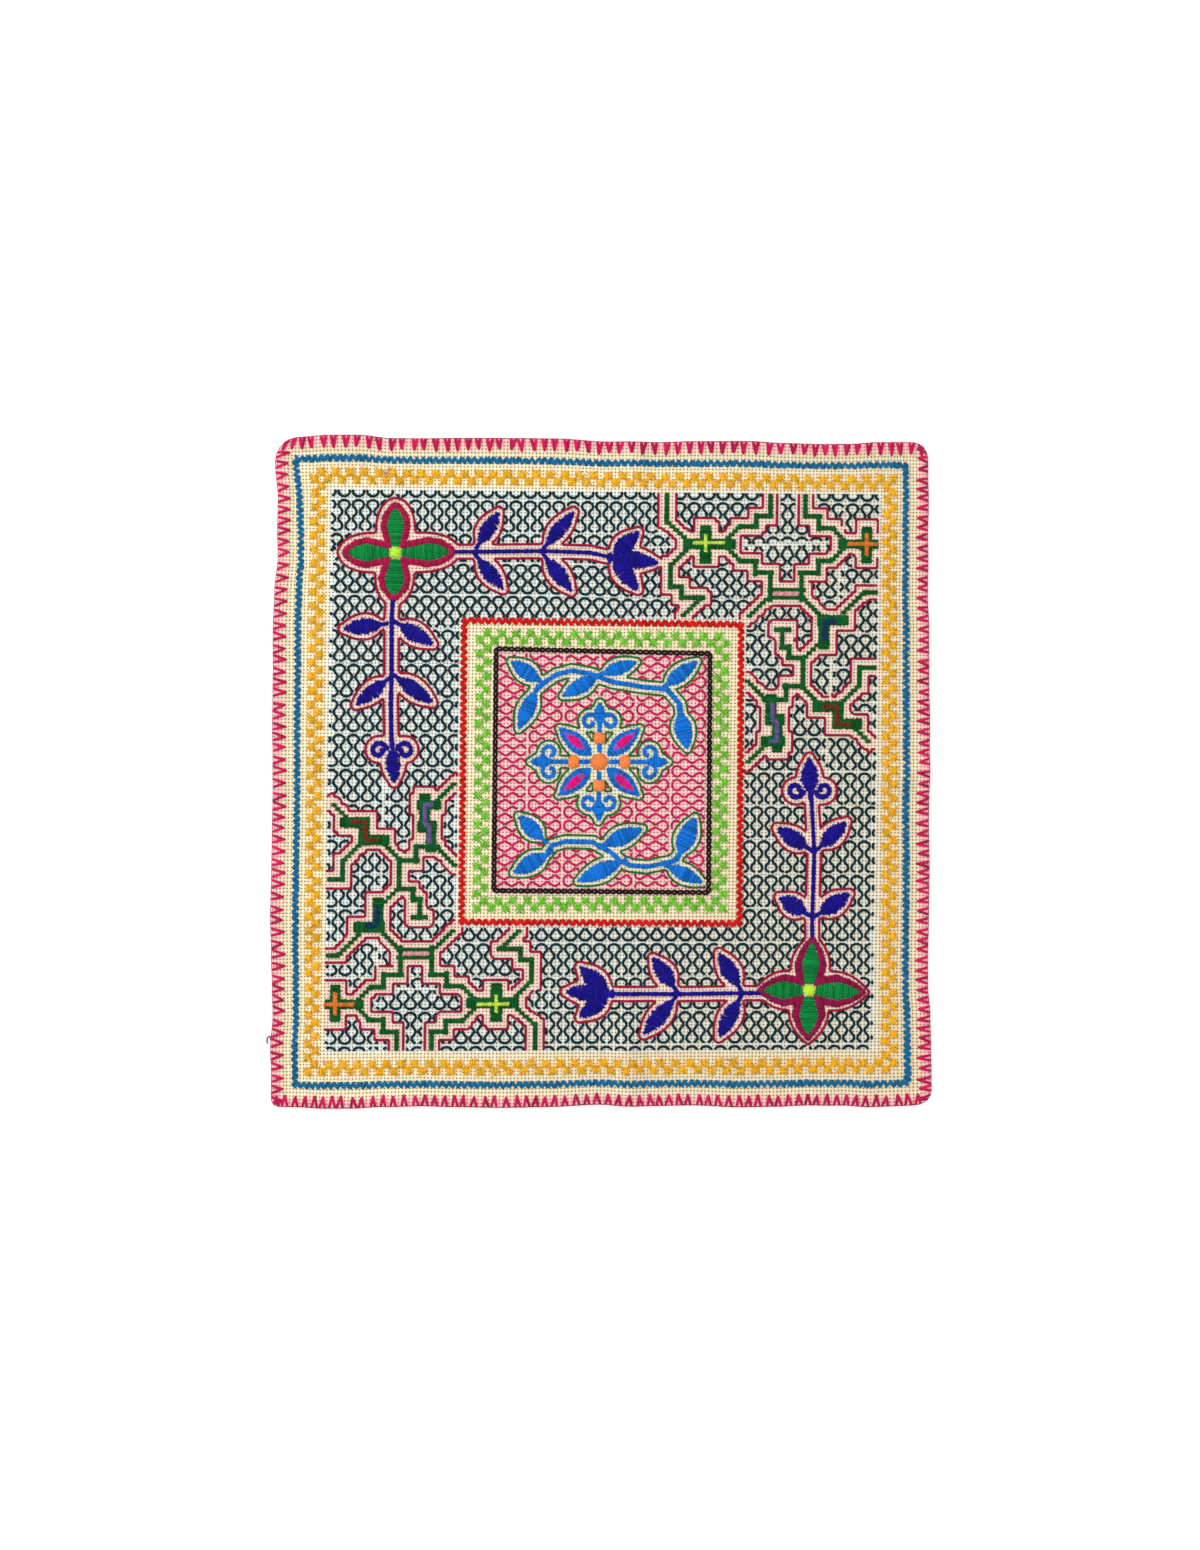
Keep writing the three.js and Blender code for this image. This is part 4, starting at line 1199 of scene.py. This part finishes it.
# Between the sprays is the middle ornament, in the same blue, with a deep pink heart in each
# petal, an orange disc at the crossing and a smaller one on each arm.
ornament_stitches = [one for leaf in ORNAMENT_PETALS + ORNAMENT_BUDS for one in satin_leaf(*leaf)]
ornament_stitches += [one for line in ORNAMENT_LINES for one in satin_line(*line)]
sew("blue_ornament", ornament_stitches, 1.0, spray_blue)

HEART_INSET, HEART_WIDE = 0.19, 0.6
heart_stitches = []
for root, tip, half in ORNAMENT_PETALS:
    root, tip = np.array(root), np.array(tip)
    heart_root = root + (tip - root) * HEART_INSET
    heart_tip = tip - (tip - root) * HEART_INSET * 0.8
    heart_stitches += satin_leaf(heart_root, heart_tip, half * HEART_WIDE, rise=1.25, ragged=0.2)
deep_pink = embroidery_cotton("deep_pink_cotton", (232, 20, 136))
sew("pink_petal_hearts", heart_stitches, 1.0, deep_pink)

# Where each disc is from the ornament's middle, and its radius
DISCS = [(0, 0, 4.5), (13.5, 0, 3.5), (-13.5, 0, 3.5), (0, 12.5, 3.5), (0, -12.5, 3.5)]
disc_stitches = []
for disc_u, disc_v, radius in DISCS:
    middle = np.array((MIDDLE_U + disc_u, MIDDLE_V + disc_v))
    disc_stitches += satin_disc(middle, radius, 18, (0.9, 1.06), low=1.0, uneven=0.35)
disc_orange = embroidery_cotton("disc_orange_cotton", (246, 138, 70), dark=0.6)
sew("orange_discs", disc_stitches, 0.9, disc_orange)

# Dark green back stitch outlines the panel's motifs, and the ground between them is filled with
# pink rings like the teal ones, turned to run across.
PANEL_EDGE = {"left": -54.5, "right": 55.6, "bottom": -61.0, "top": 62.4}


def in_panel(u, v):
    beside = (u > PANEL_EDGE["left"]) & (u < PANEL_EDGE["right"])
    return beside & (v > PANEL_EDGE["bottom"]) & (v < PANEL_EDGE["top"])


outline_stitches = []
for route in outline_routes(panel_room, *PANEL_EDGE.values(), step=0.7):
    outline_stitches += back_stitches(route)
outline_green = embroidery_cotton("outline_green_cotton", (32, 112, 46), dark=0.4)
sew("panel_outlines", outline_stitches, 1.2, outline_green)

PINK_RINGS_UP, PINK_SWING = 7.2, 1.05
PINK_FIRST_ROW = -71

# Where each row starts and ends, and whether its rings close at the start
PINK_ROWS = [
    (-76.3, -57.5, False),
    (-57.5, -38.8, True),
    (-38.8, -20, False),
    (-20, -1.3, True),
    (-1.3, 17.5, False),
    (17.5, 36.4, False),
    (36.4, 55.2, True),
]
pink_stitches = []
for row_start, row_end, closes_at_start in PINK_ROWS:
    for k in range(-1, 20):
        column = PINK_FIRST_ROW + k * PINK_RINGS_UP
        for outward_way in (-1, 1):
            route = ring_thread(column, outward_way, row_start, row_end, PINK_RINGS_UP,
                                PINK_SWING, closes_at_start)
            route = even_points(route[:, ::-1], ROUTE_STEP)
            u, v = route.T
            for run in kept_runs(route, in_panel(u, v) & (panel_room(u, v) > 0.5)):
                pink_stitches += back_stitches(run)
cerise = embroidery_cotton("cerise_cotton", (206, 20, 90), dark=0.4)
sew("pink_ring_filling", pink_stitches, 1.3, cerise)

# A pale floor, and soft light from above with a little more from the upper left, so that the
# ridges and the raised threads show.
floor_mesh = bmesh.new()
bmesh.ops.create_grid(floor_mesh, x_segments=1, y_segments=1, size=3)
bmesh.ops.translate(floor_mesh, verts=floor_mesh.verts[:], vec=(0, 0, -0.0002))
floor_data = bpy.data.meshes.new("floor")
floor_mesh.to_mesh(floor_data)
floor_mesh.free()
floor_paint = bpy.data.materials.new("pale_floor")
floor_paint.use_nodes = True
paint = floor_paint.node_tree.nodes["Principled BSDF"]
paint.inputs["Base Color"].default_value = (0.95, 0.95, 0.95, 1)
paint.inputs["Roughness"].default_value = 0.9
floor_data.materials.append(floor_paint)
floor = bpy.data.objects.new("floor", floor_data)
bpy.context.scene.collection.objects.link(floor)

# Each lamp's place, watts and size
LAMPS = [
    ("upper_left_lamp", (-1.1, 0.9, 0.65), 14, 0.6),
    ("overhead_lamp", (0.3, -0.2, 1.6), 13, 1.4),
]
for name, place, watts, size in LAMPS:
    lamp = bpy.data.lights.new(name, "AREA")
    lamp.energy = watts
    lamp.size = size
    stand = bpy.data.objects.new(name, lamp)
    stand.location = place
    aim = stand.location.normalized().to_track_quat("Z", "Y")
    stand.rotation_euler = aim.to_euler()
    bpy.context.scene.collection.objects.link(stand)
world = bpy.data.worlds.new("room")
world.use_nodes = True
world.node_tree.nodes["Background"].inputs["Color"].default_value = (1, 1, 1, 1)
world.node_tree.nodes["Background"].inputs["Strength"].default_value = 0.75
bpy.context.scene.world = world
bpy.context.scene.view_settings.view_transform = "Standard"
